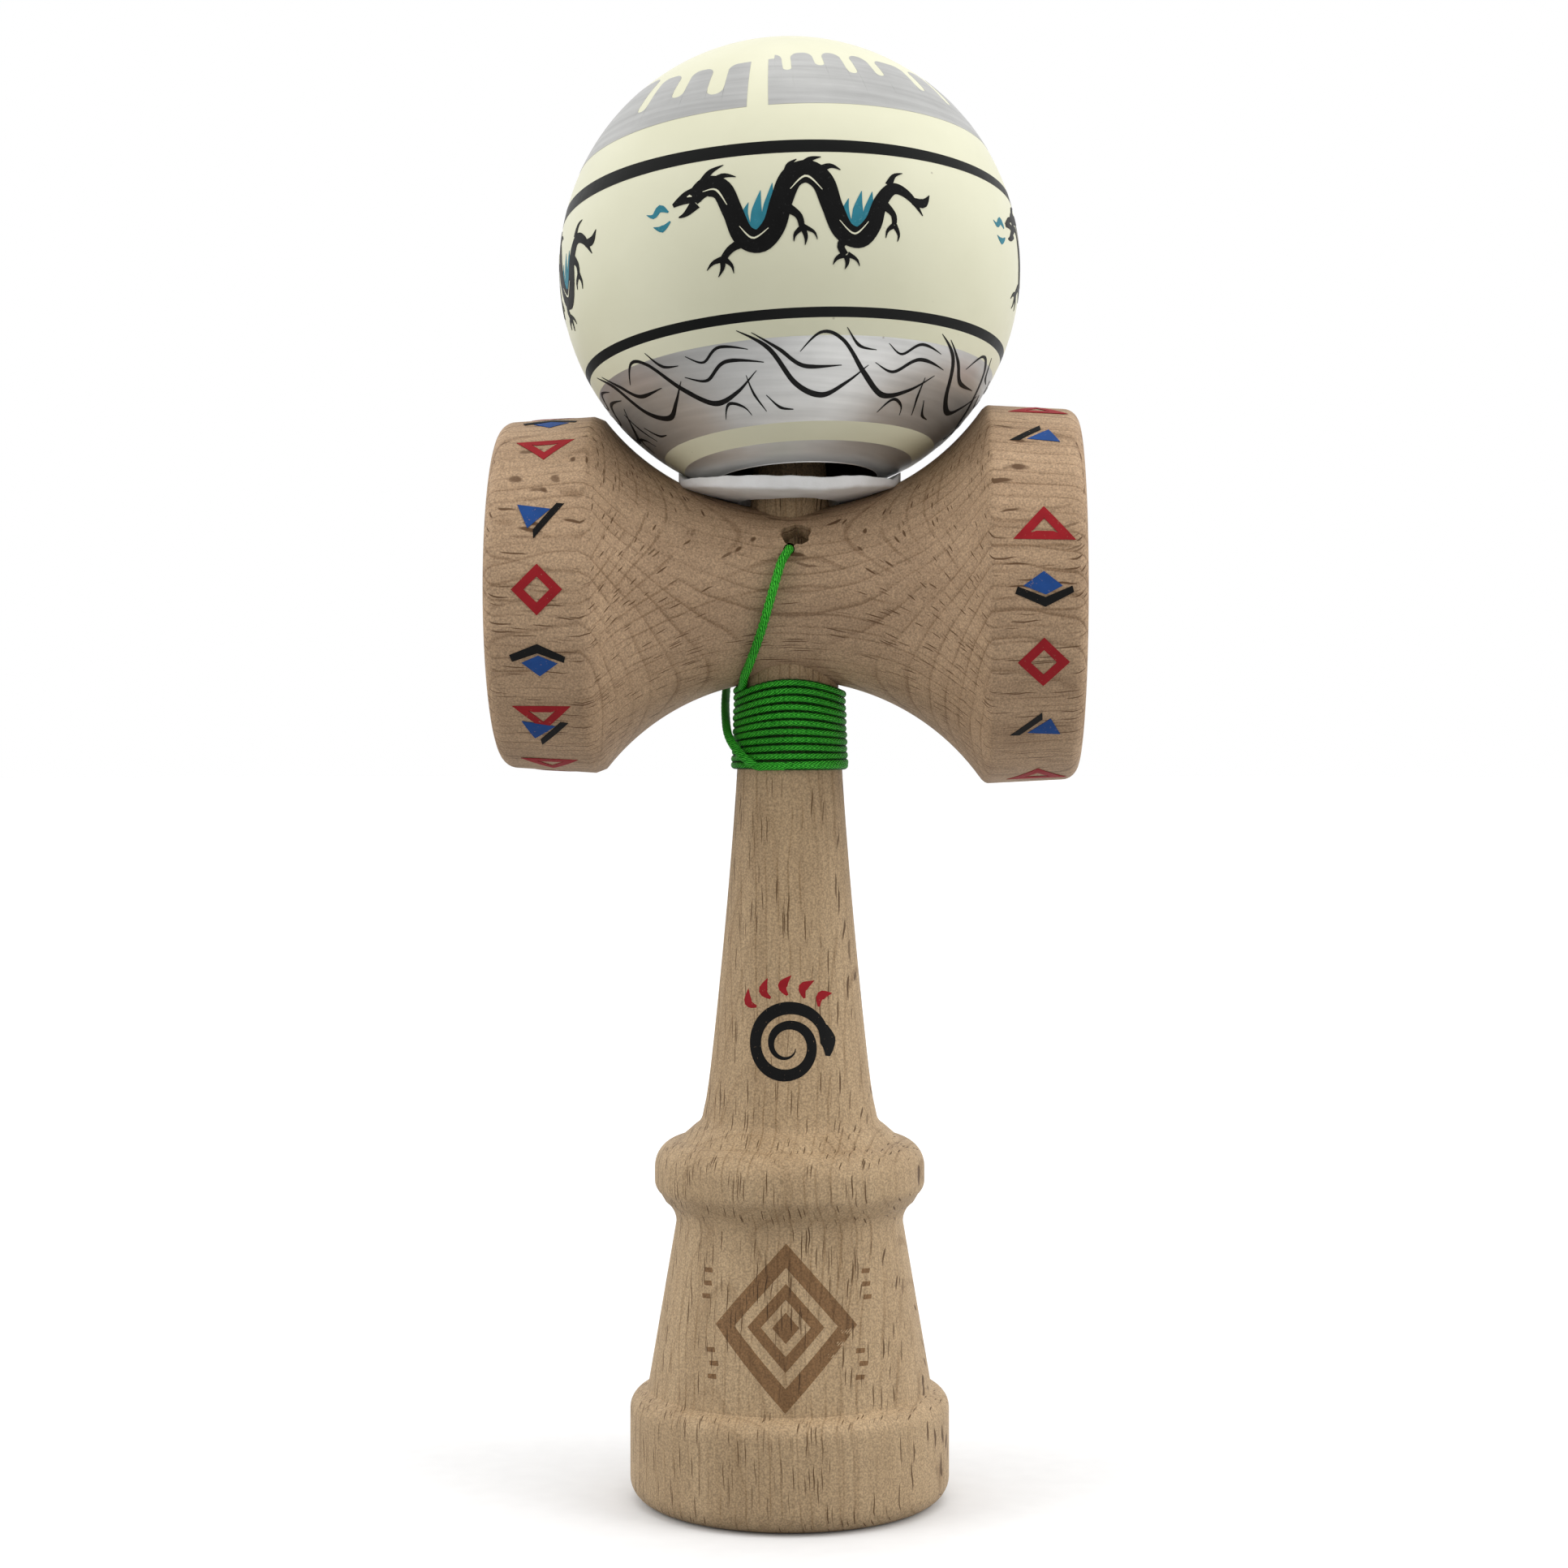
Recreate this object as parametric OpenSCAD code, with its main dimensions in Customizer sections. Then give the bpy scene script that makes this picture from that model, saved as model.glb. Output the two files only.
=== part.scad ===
// Kendama: a turned wooden cup-and-ball toy, standing on its base with the ball on the spike.
// Millimetres. +Z is up, the origin is the centre of the ring that the handle stands on,
// and the crosspiece runs along X with its big cup on the +X side.

/* [Ball] */
// Diameter of the ball
ball_d = 60; // [50:0.5:72]
// How far the ball leans back on the spike, in degrees
ball_lean = 7.75; // [0:0.25:8]
// How far the ball leans towards the small cup, in degrees
ball_roll = 3.25; // [0:0.25:3.5]
// How much wider than the spike the spike hole is at its mouth
mouth_play = 11.1; // [9.2:0.1:13.4]
// Width of the rounded lip at the mouth of the spike hole
mouth_lip = 0.6; // [0.3:0.1:1]
// How much wider than the bead its chamber at the top of the spike hole is
chamber_play = 2.4; // [2:0.1:3]
// Length of the straight chamber, up to its shoulder
chamber_l = 8; // [6.6:0.2:9.6]
// Thickness of the wood over the chamber's shoulder
crown_t = 14; // [11.6:0.2:16.8]
// How much wider than the string its hole in the top of the ball is
top_hole_play = 2.7; // [2.2:0.1:3.3]

/* [Bead] */
// Diameter of the bead inside the ball
bead_d = 9; // [7.5:0.1:10.8]
// How much wider than the string the bead's hole is
bead_hole_play = 1.3; // [1:0.1:1.6]
// Gap between the bead and the shoulder it pulls up against
bead_gap = 0.3; // [0.2:0.05:0.5]

/* [Handle base] */
// Diameter of the rim round the base cup
base_d = 41.6; // [34.6:0.2:50]
// Height of the rim round the base cup
base_rim_h = 14.2; // [12:0.2:17]
// Rounding of the rim's lower edge
base_lower_round = 3; // [2:0.25:3.6]
// Rounding of the rim's upper edge
base_upper_round = 2.4; // [1.6:0.2:2.8]
// Width of the lip round the base cup
base_lip_w = 4.4; // [3.8:0.1:5.2]
// Width of the step from the base rim in to the cone above it
base_step_w = 2.3; // [2:0.1:2.8]
// Diameter of the cone at the neck under the collar
cone_neck_d = 29.6; // [24.6:0.2:35.6]
// Height of the neck under the collar
neck_z = 36; // [30:0.2:43]

/* [Collar] */
// How far the collar stands out of the neck
collar_proud = 2.8; // [2.4:0.1:3.4]
// Height from the neck to the crest of the lower edge of the collar
collar_cove_h = 3.4; // [2.8:0.1:4]
// Height of the collar from its lower edge to its top
collar_h = 7.4; // [6.2:0.1:8.9]
// Rounding of the collar's lower edge
collar_lower_round = 2; // [1.6:0.1:2.4]
// Rounding of the collar's upper edge
collar_upper_round = 3.6; // [3:0.1:3.8]

/* [Handle] */
// Diameter of the handle at its foot, on the collar
handle_foot_d = 22; // [18.4:0.2:26]
// Width of the fillet between the collar and the handle
handle_fillet = 1.6; // [1:0.1:2]
// Height of the handle's foot over the collar
handle_foot_h = 3.2; // [2.6:0.1:4]
// Diameter of the handle where it enters the crosspiece
handle_top_d = 12.7; // [11.4:0.1:15.3]
// How fast the handle's flare fades going up: 1 is a straight cone
handle_flare = 1.4; // [1:0.05:1.8]
// Diameter of the spike where it leaves the crosspiece
spike_d = 10.3; // [8.6:0.1:12.4]
// Diameter of the spike at its tip
spike_tip_d = 5; // [4.2:0.1:6]
// Gap between the spike's tip and the knot under the bead
spike_tip_gap = 2.8; // [2:0.1:3.4]
// Height of the string hole across the handle over the crosspiece's axis
ken_hole_rise = 5.4; // [4.6:0.1:6]
// How much wider than the string its hole across the handle is
ken_hole_play = 1.1; // [0.9:0.1:1.4]
// How much wider than the string's knot the pocket that holds it is
knot_pocket_play = 1; // [0.8:0.1:1.2]
// Depth of the pocket from the back of the handle
knot_pocket_depth = 3.3; // [2.8:0.1:3.9]

/* [Crosspiece] */
// Height of the crosspiece's axis over the floor
sarado_z = 117.7; // [98:0.1:142]
// Diameter of the waist
waist_d = 22.2; // [18.4:0.2:26.8]
// How much rounder the curve from the waist out to the cups is than the ball, on the radius
saddle_ease = 0.6; // [0.5:0.1:0.8]
// Diameter of the small cup's crest
small_crest_d = 46.5; // [38.8:0.1:55.8]
// Run of the softened edge along the small cup's crest
small_crest_run = 1.3; // [1:0.1:1.6]
// Width of the band round the small cup, from its crest to its rim
small_band_w = 12.2; // [10.2:0.1:14.6]
// Diameter of the outside of the small cup at its rim
small_rim_d = 45.2; // [37.7:0.1:54.2]
// Diameter of the big cup's crest
big_crest_d = 49.2; // [41:0.1:59]
// Run of the softened edge along the big cup's crest
big_crest_run = 0.8; // [0.6:0.1:1]
// Width of the band round the big cup, from its crest to its rim
big_band_w = 11.6; // [9.7:0.1:13.9]
// Diameter of the outside of the big cup at its rim
big_rim_d = 48.2; // [40.2:0.1:57.8]
// Width of the lip round each cup's mouth
cup_lip_w = 3.4; // [2.9:0.1:4]
// Rounding of the cups' outer edges
rim_round = 2; // [1:0.1:2.4]
// Height of the softened edge where a cup's flank meets its band
crest_soft = 0.5; // [0.3:0.1:0.8]
// How much rounder the cups are than the ball, on the radius
cup_ease = 0.5; // [0.2:0.1:1]
// How far the string hole in the crosspiece's front points up, in degrees
sarado_hole_a = 42; // [38:1:46]
// Distance of the string hole to the big cup's side of the handle's axis
sarado_hole_x = 1; // [0:0.1:1.2]
// How much wider than the string its hole through the crosspiece's front is
sarado_hole_play = 2.7; // [2.3:0.1:3.2]
// How much wider than the string the notch is that it runs through in that hole's lower lip
sarado_notch_play = 0.7; // [0.6:0.1:0.8]
// Gap all round between the handle and the crosspiece's bore
push_fit = 0.05; // [0.02:0.01:0.1]

/* [Washer] */
// Diameter of the foam washer
washer_d = 29; // [24.2:0.2:34]
// How much wider than the spike the washer's hole is
washer_hole_play = 1.5; // [1.3:0.1:1.8]
// Thickness of the washer
washer_t = 1.8; // [1.5:0.1:2.2]
// Height of the washer's underside over the waist, at its middle
washer_lift = 0.5; // [0.3:0.1:0.8]
// Radius that the washer bends to between the two flanks
washer_bend_r = 41; // [36:0.5:50]
// How far the washer tips back, in degrees
washer_tip = 4; // [0:0.25:5]
// Height of the ball's lowest lip over the waist
seat_h = 1.9; // [1.4:0.1:3]
// Gap between the washer and what it lies between
washer_gap = 0.15; // [0.05:0.05:0.2]

/* [String] */
// Diameter of the string
string_d = 1.1; // [0.9:0.1:1.3]
// Height of the winding round the handle
winding_h = 12; // [10:0.1:14.4]
// How far the winding's top turn rises past the underside of the waist
winding_lap = 0.3; // [0:0.1:0.6]
// How far the turns stand out of the handle
winding_t = 0.8; // [0.7:0.05:1]
// How much thicker than the string its knots are
knot_more = 2.1; // [1.8:0.1:2.5]

/* [Hidden] */
$fn = 96;

beech = [0.80, 0.66, 0.48];
beech_across = [0.78, 0.64, 0.50];
cream = [0.93, 0.91, 0.74];
foam = [0.86, 0.86, 0.86];
string_green = [0.12, 0.55, 0.16];

TUBE_SIDES = 8;
// A knot is this much shorter along the string than across it
KNOT_SHAPE = 0.8;
// Flat that stays between a rim's rounding and the cup's mouth
RIM_LAND = 0.4;
// Step of the groove between the base rim and the cone above it
CREASE = 0.2;

ball_r = ball_d / 2;
mouth_r = (spike_d + mouth_play) / 2;
cup_r = ball_r + cup_ease;
saddle_r = ball_r + saddle_ease;
waist_r = waist_d / 2;
waist_top_z = sarado_z + waist_r;
waist_bottom_z = sarado_z - waist_r;
collar_low_z = neck_z + collar_cove_h;
collar_top_z = collar_low_z + collar_h;
handle_foot_z = collar_top_z + handle_foot_h;
string_hole_z = sarado_z + ken_hole_rise;
winding_z = waist_bottom_z + winding_lap - winding_h;
chamber_r = (bead_d + chamber_play) / 2;
top_hole_r = (string_d + top_hole_play) / 2;
knot_d = string_d + knot_more;
knot_l = knot_d * KNOT_SHAPE;

// The ball's centre, from the lip of its hole resting on the washer
ball_tilt = acos(cos(ball_lean) * cos(ball_roll));
mouth_h = sqrt(ball_r * ball_r - mouth_r * mouth_r);
ball_z = waist_top_z + seat_h + mouth_h * cos(ball_tilt) + mouth_r * sin(ball_tilt);
// The chamber ends in a 45 degree shoulder, and the bead hangs just under it
shoulder_z = ball_r - crown_t;
bead_z = shoulder_z + chamber_r - (bead_d / 2 + bead_gap) * sqrt(2);
tip_z = ball_z + (bead_z - bead_d / 2 - knot_l) * cos(ball_tilt) - spike_tip_gap;

// The string's route: out of the handle, through the crosspiece and down its front to the winding
FRONT_ROUTE = [
    [0, 2.7, 123.1], [0, -2.4, 123.1], [0.1, -6.4, 123.1], [0.25, -9.9, 123.1],
    [0, -10.75, 122.65], [-0.5, -11.3, 121.8], [-0.9, -11.65, 120.8], [-1.7, -12, 118],
    [-2.5, -11.8, 115.2], [-3.3, -11, 112.6], [-4.2, -9.8, 110.2], [-5, -8.1, 108.2],
    [-5.7, -6.3, 106.8], [-6.4, -4.8, 106]
];
// from the winding's lowest turn up behind the crosspiece, and up the back of the ball
BACK_ROUTE = [
    [-4.6, -6.3, 95.8], [-5.7, -5.9, 96.5], [-7.1, -4.4, 98], [-8, -2, 99.6],
    [-8.4, 0.8, 101.5], [-8.6, 3.6, 103.6], [-8.6, 6.6, 105.8], [-8.6, 9.6, 108.6],
    [-8.4, 12.2, 112.6], [-7.9, 15.6, 120], [-7.2, 20.1, 130], [-6.4, 24.7, 140],
    [-5.6, 28.1, 147.6], [-4.9, 30.2, 154], [-4.3, 30.9, 160]
];
// and over the ball, in at its top hole and through the bead
TOP_ROUTE = [
    [-4.3, 30.9, 160.4], [-3.9, 30.4, 166], [-3.5, 28.4, 172.3], [-3.1, 25.1, 178.2],
    [-2.7, 20.5, 183.3], [-2.3, 15.1, 187.2], [-1.9, 9.7, 189.7], [-1.7, 6.5, 190.5],
    [-1.6, 4.6, 189.6], [-1.5, 3.8, 187.4], [-1.3, 3.2, 183.6], [-1.1, 2.6, 179],
    [-0.8, 2, 174.6], [-0.6, 1.4, 170.2]
];

// Points along an arc, from angle a0 to angle a1, about centre c
function arc(c, r, a0, a1, n = 8) =
    [for (i = [0:n]) let (a = a0 + (a1 - a0) * i / n) [c[0] + r * cos(a), c[1] + r * sin(a)]];

// Radius of the tapered part of the handle at height z inside the crosspiece
function bore_r(z) =
    handle_top_d / 2 + (spike_d - handle_top_d) / 2 * (z - waist_bottom_z) / waist_d;

// Radius of the flared handle, where t runs from 0 at its foot to 1 at the crosspiece
function flare_r(t) =
    handle_top_d / 2 + (handle_foot_d - handle_top_d) / 2 * pow(1 - t, handle_flare);

// Height of the flared handle at t
function flare_z(t) = handle_foot_z + (waist_bottom_z - handle_foot_z) * t;

// Where along the flare the lowest turn of string sits
winding_at = (winding_z - handle_foot_z) / (waist_bottom_z - handle_foot_z);

// Radius of the crosspiece at distance x from the handle's axis, between the crests
function saddle(x) = waist_r + saddle_r - sqrt(saddle_r * saddle_r - x * x);

// The distance from the handle's axis at which the saddle curve has reached radius r
function saddle_x(r) =
    sqrt(saddle_r * saddle_r - pow(saddle_r + waist_r - r, 2));

// One point of a Catmull-Rom curve through four points
function blend_point(a, b, c, d, t) =
    0.5 * (2 * b + (c - a) * t + (2 * a - 5 * b + 4 * c - d) * t * t
        + (3 * b - a - 3 * c + d) * t * t * t);

// A route with a point added between each two of its own
function smooth_route(p) = let (last = len(p) - 1) [
    for (i = [0:last - 1])
        for (t = [0, 0.5])
            blend_point(p[max(i - 1, 0)], p[i], p[i + 1], p[min(i + 2, last)], t),
    p[last]
];

function unit(v) = v / norm(v);

// A closed tube swept along a route, as rings of points square to it
module tube(route, d) {
    p = route;
    n = len(p);
    points = [
        for (i = [0:n - 1])
            let (
                along = unit(p[min(i + 1, n - 1)] - p[max(i - 1, 0)]),
                side = unit(cross(along, [1, 0, 0])),
                up = cross(along, side)
            )
            for (k = [0:TUBE_SIDES - 1])
                let (a = 360 * k / TUBE_SIDES) p[i] + d / 2 * (cos(a) * side + sin(a) * up)
    ];
    walls = [
        for (i = [0:n - 2])
            for (k = [0:TUBE_SIDES - 1])
                let (j = (k + 1) % TUBE_SIDES, lo = i * TUBE_SIDES, hi = lo + TUBE_SIDES)
                [lo + k, hi + k, hi + j, lo + j]
    ];
    start_cap = [for (k = [0:TUBE_SIDES - 1]) k];
    end_cap = [for (k = [TUBE_SIDES - 1:-1:0]) (n - 1) * TUBE_SIDES + k];
    polyhedron(points, concat(walls, [start_cap, end_cap]));
}

// Turns a shape that is made about +Z to lie along the crosspiece's axis, +X
module along_crosspiece() {
    translate([0, 0, sarado_z]) rotate([0, 90, 0]) children();
}

// Places a shape made about the ball's centre and its own +Z
module on_ball() {
    translate([0, 0, ball_z]) rotate([-ball_lean, -ball_roll, 0]) children();
}

// The handle's outline from the base cup up to the tip of the spike
module ken_outline() {
    base_r = base_d / 2;
    base_mouth_r = base_r - base_lip_w;
    cup_centre_z = -sqrt(cup_r * cup_r - base_mouth_r * base_mouth_r);
    cup_edge_a = acos(base_mouth_r / cup_r);
    neck_r = cone_neck_d / 2;
    collar_r = neck_r + collar_proud;
    collar_in = collar_r - collar_lower_round;
    foot_r = handle_foot_d / 2;
    tip_r = spike_tip_d / 2;
    polygon(concat(
        arc([0, cup_centre_z], cup_r, 90, cup_edge_a, 12),
        arc([base_r - base_lower_round, base_lower_round], base_lower_round, -90, 0, 6),
        arc([base_r - base_upper_round, base_rim_h - base_upper_round], base_upper_round, 0, 80, 6),
        [[base_r - base_step_w, base_rim_h + CREASE]],
        arc([neck_r + collar_cove_h, neck_z], collar_cove_h, 180, 125, 5),
        arc([collar_in, collar_low_z + collar_lower_round], collar_lower_round, -50, 0, 4),
        arc([collar_r - collar_upper_round, collar_top_z - collar_upper_round],
            collar_upper_round, 0, 85, 8),
        arc([foot_r + handle_fillet, handle_foot_z], handle_fillet, 240, 180, 4),
        [for (i = [1:15]) [flare_r(i / 16), flare_z(i / 16)]],
        [[handle_top_d / 2, waist_bottom_z], [spike_d / 2, waist_top_z]],
        arc([0, tip_z - tip_r], tip_r, 5, 90, 6)
    ));
}

knot_pocket_y = bore_r(string_hole_z) - knot_pocket_depth;

// Handle: one turned piece with the base cup below and the spike above
module ken() {
    color(beech)
    difference() {
        rotate_extrude() ken_outline();
        translate([0, handle_top_d, string_hole_z])
            rotate([90, 0, 0])
                cylinder(d = string_d + ken_hole_play, h = 2 * handle_top_d, $fn = 32);
        translate([0, knot_pocket_y, string_hole_z])
            rotate([-90, 0, 0])
                cylinder(d = knot_d + knot_pocket_play, h = handle_top_d, $fn = 32);
    }
}

// Half of the crosspiece's outline, from the waist out to one cup
function cup_half(crest_d, crest_run, band_w, rim_d) =
    let (
        reach = saddle_x(crest_d / 2 - crest_soft),
        crest_x = reach + crest_run,
        rim_x = crest_x + band_w,
        round_r = min(rim_round, cup_lip_w - RIM_LAND),
        mouth_r = rim_d / 2 - cup_lip_w,
        centre_x = rim_x + sqrt(cup_r * cup_r - mouth_r * mouth_r)
    )
    concat(
        [for (i = [1:12]) let (x = reach * i / 12) [saddle(x), x]],
        [[crest_d / 2, crest_x]],
        arc([rim_d / 2 - round_r, rim_x - round_r], round_r, 0, 90, 5),
        arc([0, centre_x], cup_r, -acos(mouth_r / cup_r), -90, 10)
    );

// A half outline the other way round, for the cup on the -X side
function flipped(p) = [for (i = [len(p) - 1:-1:0]) [p[i][0], -p[i][1]]];

module sarado_outline() {
    polygon(concat(
        flipped(cup_half(small_crest_d, small_crest_run, small_band_w, small_rim_d)),
        [[waist_r, 0]],
        cup_half(big_crest_d, big_crest_run, big_band_w, big_rim_d)
    ));
}

// Crosspiece: one turned piece with a cup at each end, pushed down over the handle's taper
module sarado() {
    past = waist_r;
    low = waist_bottom_z - past;
    high = waist_top_z + past;
    color(beech_across)
    difference() {
        along_crosspiece() rotate_extrude() sarado_outline();
        translate([0, 0, low])
            cylinder(r1 = bore_r(low) + push_fit, r2 = bore_r(high) + push_fit, h = high - low);
        translate([sarado_hole_x, 0, sarado_z])
            rotate([90 - sarado_hole_a, 0, 0])
                cylinder(d = string_d + sarado_hole_play, h = waist_d, $fn = 32);
        translate([sarado_hole_x / 4, 0, string_hole_z])
            rotate([90, 0, 0])
                cylinder(d = string_d + sarado_notch_play, h = waist_d, $fn = 24);
    }
}

// The inside of the ball: tapered spike hole, chamber, shoulder and string hole
module tama_hollow(grow = 0) {
    lip_r = mouth_r + mouth_lip + grow;
    wide_r = chamber_r + grow;
    hole_r = top_hole_r + grow;
    rotate_extrude() polygon([
        [0, -ball_d], [lip_r, -ball_d], [lip_r, -mouth_h - mouth_lip / 2],
        [mouth_r + grow, -mouth_h + mouth_lip], [wide_r, shoulder_z - chamber_l],
        [wide_r, shoulder_z], [hole_r, shoulder_z + wide_r - hole_r],
        [hole_r, ball_d], [0, ball_d]
    ]);
}

// Ball: turned, drilled from below for the spike and from above for the string
module tama() {
    color(cream)
    on_ball() difference() {
        sphere(r = ball_r, $fn = 128);
        tama_hollow();
    }
}

// Foam washer: a soft ring round the spike that keeps the ball off the waist,
// pressed down between the crosspiece's two flanks
module washer() {
    under_z = waist_top_z + washer_lift;
    color(foam)
    difference() {
        intersection() {
            translate([0, 0, under_z + washer_bend_r])
                rotate([90 - washer_tip, 0, 0])
                    difference() {
                        cylinder(r = washer_bend_r, h = 2 * washer_d, center = true);
                        cylinder(r = washer_bend_r - washer_t, h = 3 * washer_d, center = true);
                    }
            translate([0, 0, waist_bottom_z])
                cylinder(d = washer_d, h = waist_d + washer_d / 2);
        }
        translate([0, 0, waist_bottom_z])
            cylinder(d = spike_d + washer_hole_play, h = waist_d + washer_d);
        along_crosspiece() rotate_extrude() saddle_outline(washer_gap);
        on_ball() difference() {
            sphere(r = ball_r + washer_gap, $fn = 128);
            tama_hollow(-washer_gap);
        }
    }
}

// The crosspiece's waist and flanks, fatter all round by a gap
module saddle_outline(gap) {
    reach = washer_d / 2 + 1;
    polygon(concat(
        [[0, -reach]],
        [for (i = [-8:8]) let (x = reach * i / 8) [saddle(x) + gap, x]],
        [[0, reach]]
    ));
}

// Bead: hangs in the ball's chamber and lets the ball turn on the string
module bead() {
    color(beech)
    on_ball() translate([0, 0, bead_z]) difference() {
        sphere(d = bead_d, $fn = 48);
        cylinder(d = string_d + bead_hole_play, h = 2 * bead_d, center = true, $fn = 32);
    }
}

// A stopper knot, made about the string's own direction, +Z
module knot() {
    rotate_extrude($fn = 24) polygon(concat(
        [[0, -knot_l / 2]],
        [for (a = [-60:20:60]) [knot_d / 2 * cos(a), knot_l / 2 * sin(a)]],
        [[0, knot_l / 2]]
    ));
}

// Knot under the bead
module bead_knot() {
    color(string_green)
    on_ball() translate([0, 0, bead_z - (bead_d + knot_l) / 2]) knot();
}

// Knot in the pocket at the back of the handle
module ken_knot() {
    color(string_green)
    translate([0, knot_pocket_y + knot_l / 2, string_hole_z])
        rotate([90, 0, 0]) knot();
}

module string_front() { color(string_green) tube(FRONT_ROUTE, string_d); }

// Outer shape of the string's turns round the handle, pressed up under the crosspiece
module string_winding() {
    color(string_green)
    difference() {
        translate([0, 0, winding_z])
            cylinder(r = flare_r(winding_at) + winding_t, h = winding_h);
        rotate_extrude() ken_outline();
        along_crosspiece() rotate_extrude() saddle_outline(push_fit);
    }
}

module string_back() { color(string_green) tube(smooth_route(BACK_ROUTE), string_d); }

module string_top() { color(string_green) tube(smooth_route(TOP_ROUTE), string_d); }

ken();
sarado();
tama();
washer();
bead();
bead_knot();
ken_knot();
string_front();
string_winding();
string_back();
string_top();
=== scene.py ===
# A wooden kendama that stands on its base cup, with the ball on the spike and the string
# wound round the handle. Metres, +Z up, crosspiece along X, front towards -Y.
import math
import random
import bpy
import bmesh
from mathutils import Matrix, Vector, noise


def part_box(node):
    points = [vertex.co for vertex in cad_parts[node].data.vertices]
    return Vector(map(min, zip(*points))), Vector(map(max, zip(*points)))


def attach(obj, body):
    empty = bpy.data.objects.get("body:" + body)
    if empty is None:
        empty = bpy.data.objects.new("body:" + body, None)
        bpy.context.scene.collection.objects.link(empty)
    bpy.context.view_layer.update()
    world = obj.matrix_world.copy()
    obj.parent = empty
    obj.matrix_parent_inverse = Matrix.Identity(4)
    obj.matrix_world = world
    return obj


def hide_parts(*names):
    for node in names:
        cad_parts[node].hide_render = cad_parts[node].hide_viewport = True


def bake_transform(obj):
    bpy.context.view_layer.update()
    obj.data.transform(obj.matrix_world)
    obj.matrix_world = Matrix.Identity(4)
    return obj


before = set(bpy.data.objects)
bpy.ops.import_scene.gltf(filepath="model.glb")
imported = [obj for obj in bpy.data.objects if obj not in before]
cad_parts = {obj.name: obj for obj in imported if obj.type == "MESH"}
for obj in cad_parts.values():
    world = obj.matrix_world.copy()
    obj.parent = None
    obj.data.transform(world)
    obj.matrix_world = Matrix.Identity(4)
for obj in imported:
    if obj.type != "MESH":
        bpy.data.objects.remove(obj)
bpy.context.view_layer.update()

scene = bpy.context.scene
bpy.ops.object.select_all(action="DESELECT")

# --- Camera -------------------------------------------------------------------------------
# Level with the middle of the crosspiece's underside, close in front, a little to the side
# of the big cup.
eye_distance, eye_height, eye_turn = 0.385, 0.100, math.radians(1.7)
bpy.ops.object.camera_add(
    location=(eye_distance * math.sin(eye_turn), -eye_distance * math.cos(eye_turn), eye_height),
    rotation=(math.pi / 2, 0, eye_turn))
camera = bpy.context.object
camera.name = "camera"
camera.data.lens, camera.data.sensor_width = 67.6, 36
camera.data.shift_x, camera.data.shift_y = -7 / 1932, -66 / 1932
camera.data.clip_start = 0.01
scene.camera = camera

# --- String -------------------------------------------------------------------------------
# One waxed and braided polyester string of 1.1 mm. It is knotted in the back of the handle,
# comes out at the front of the crosspiece, goes 12 times round the handle, up behind the
# crosspiece and the ball, and in at the top of the ball, where the bead is tied on.
string_d = 0.0011
front_route = [
    (0, 2.7, 123.1), (0, -2.4, 123.1), (0.1, -6.4, 123.1), (0.25, -9.9, 123.1),
    (0, -10.75, 122.65), (-0.5, -11.3, 121.8), (-0.9, -11.65, 120.8), (-1.7, -12, 118),
    (-2.5, -11.8, 115.2), (-3.3, -11, 112.6), (-4.2, -9.8, 110.2), (-5, -8.1, 108.3),
    (-5.7, -5.9, 106.9)]
back_route = [
    (-5.7, -5.9, 96.5), (-7.1, -4.4, 98), (-8, -2, 99.6),
    (-8.4, 0.8, 101.5), (-8.6, 3.6, 103.6), (-8.6, 6.6, 105.8), (-8.6, 9.6, 108.6),
    (-8.4, 12.2, 112.6), (-7.9, 15.6, 120), (-7.2, 20.1, 130), (-6.4, 24.7, 140),
    (-5.6, 28.1, 147.6), (-4.9, 30.2, 154), (-4.3, 30.9, 160.2)]
top_route = [
    (-3.9, 30.4, 166), (-3.5, 28.4, 172.3), (-3.1, 25.1, 178.2),
    (-2.7, 20.5, 183.3), (-2.3, 15.1, 187.2), (-1.9, 9.7, 189.7), (-1.7, 6.5, 190.5),
    (-1.6, 4.6, 189.6), (-1.5, 3.8, 187.4), (-1.3, 3.2, 183.6), (-1.1, 2.6, 179),
    (-0.8, 2, 174.6), (-0.6, 1.4, 170.2)]


def handle_radius(z):
    """The handle's flare between its foot and the crosspiece, in millimetres."""
    t = min(max((z - 50) / 56.6, 0), 1)
    return 6.35 + 4.65 * (1 - t) ** 1.4


def winding_route(turns=11.92, start=-153, steps=36):
    """The turns follow the arch of the crosspiece at the top and lie flat at the bottom."""
    route = []
    count = int(turns * steps)
    for i in range(count + 1):
        done = i / count
        angle = math.radians(start - 360 * turns * done)
        top = 105.2 + 1.8 * math.sin(angle) ** 2
        z = top + (95.45 - top) * min(done * turns / (turns - 0.9), 1)
        wander = 0.05 * math.sin(2.3 * angle + 1) * math.sin(0.37 * angle)
        r = handle_radius(z) + 0.45 - 0.15 * done + 0.04 * math.sin(1.7 * angle)
        route.append((r * math.cos(angle), r * math.sin(angle), z + wander))
    return route


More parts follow.
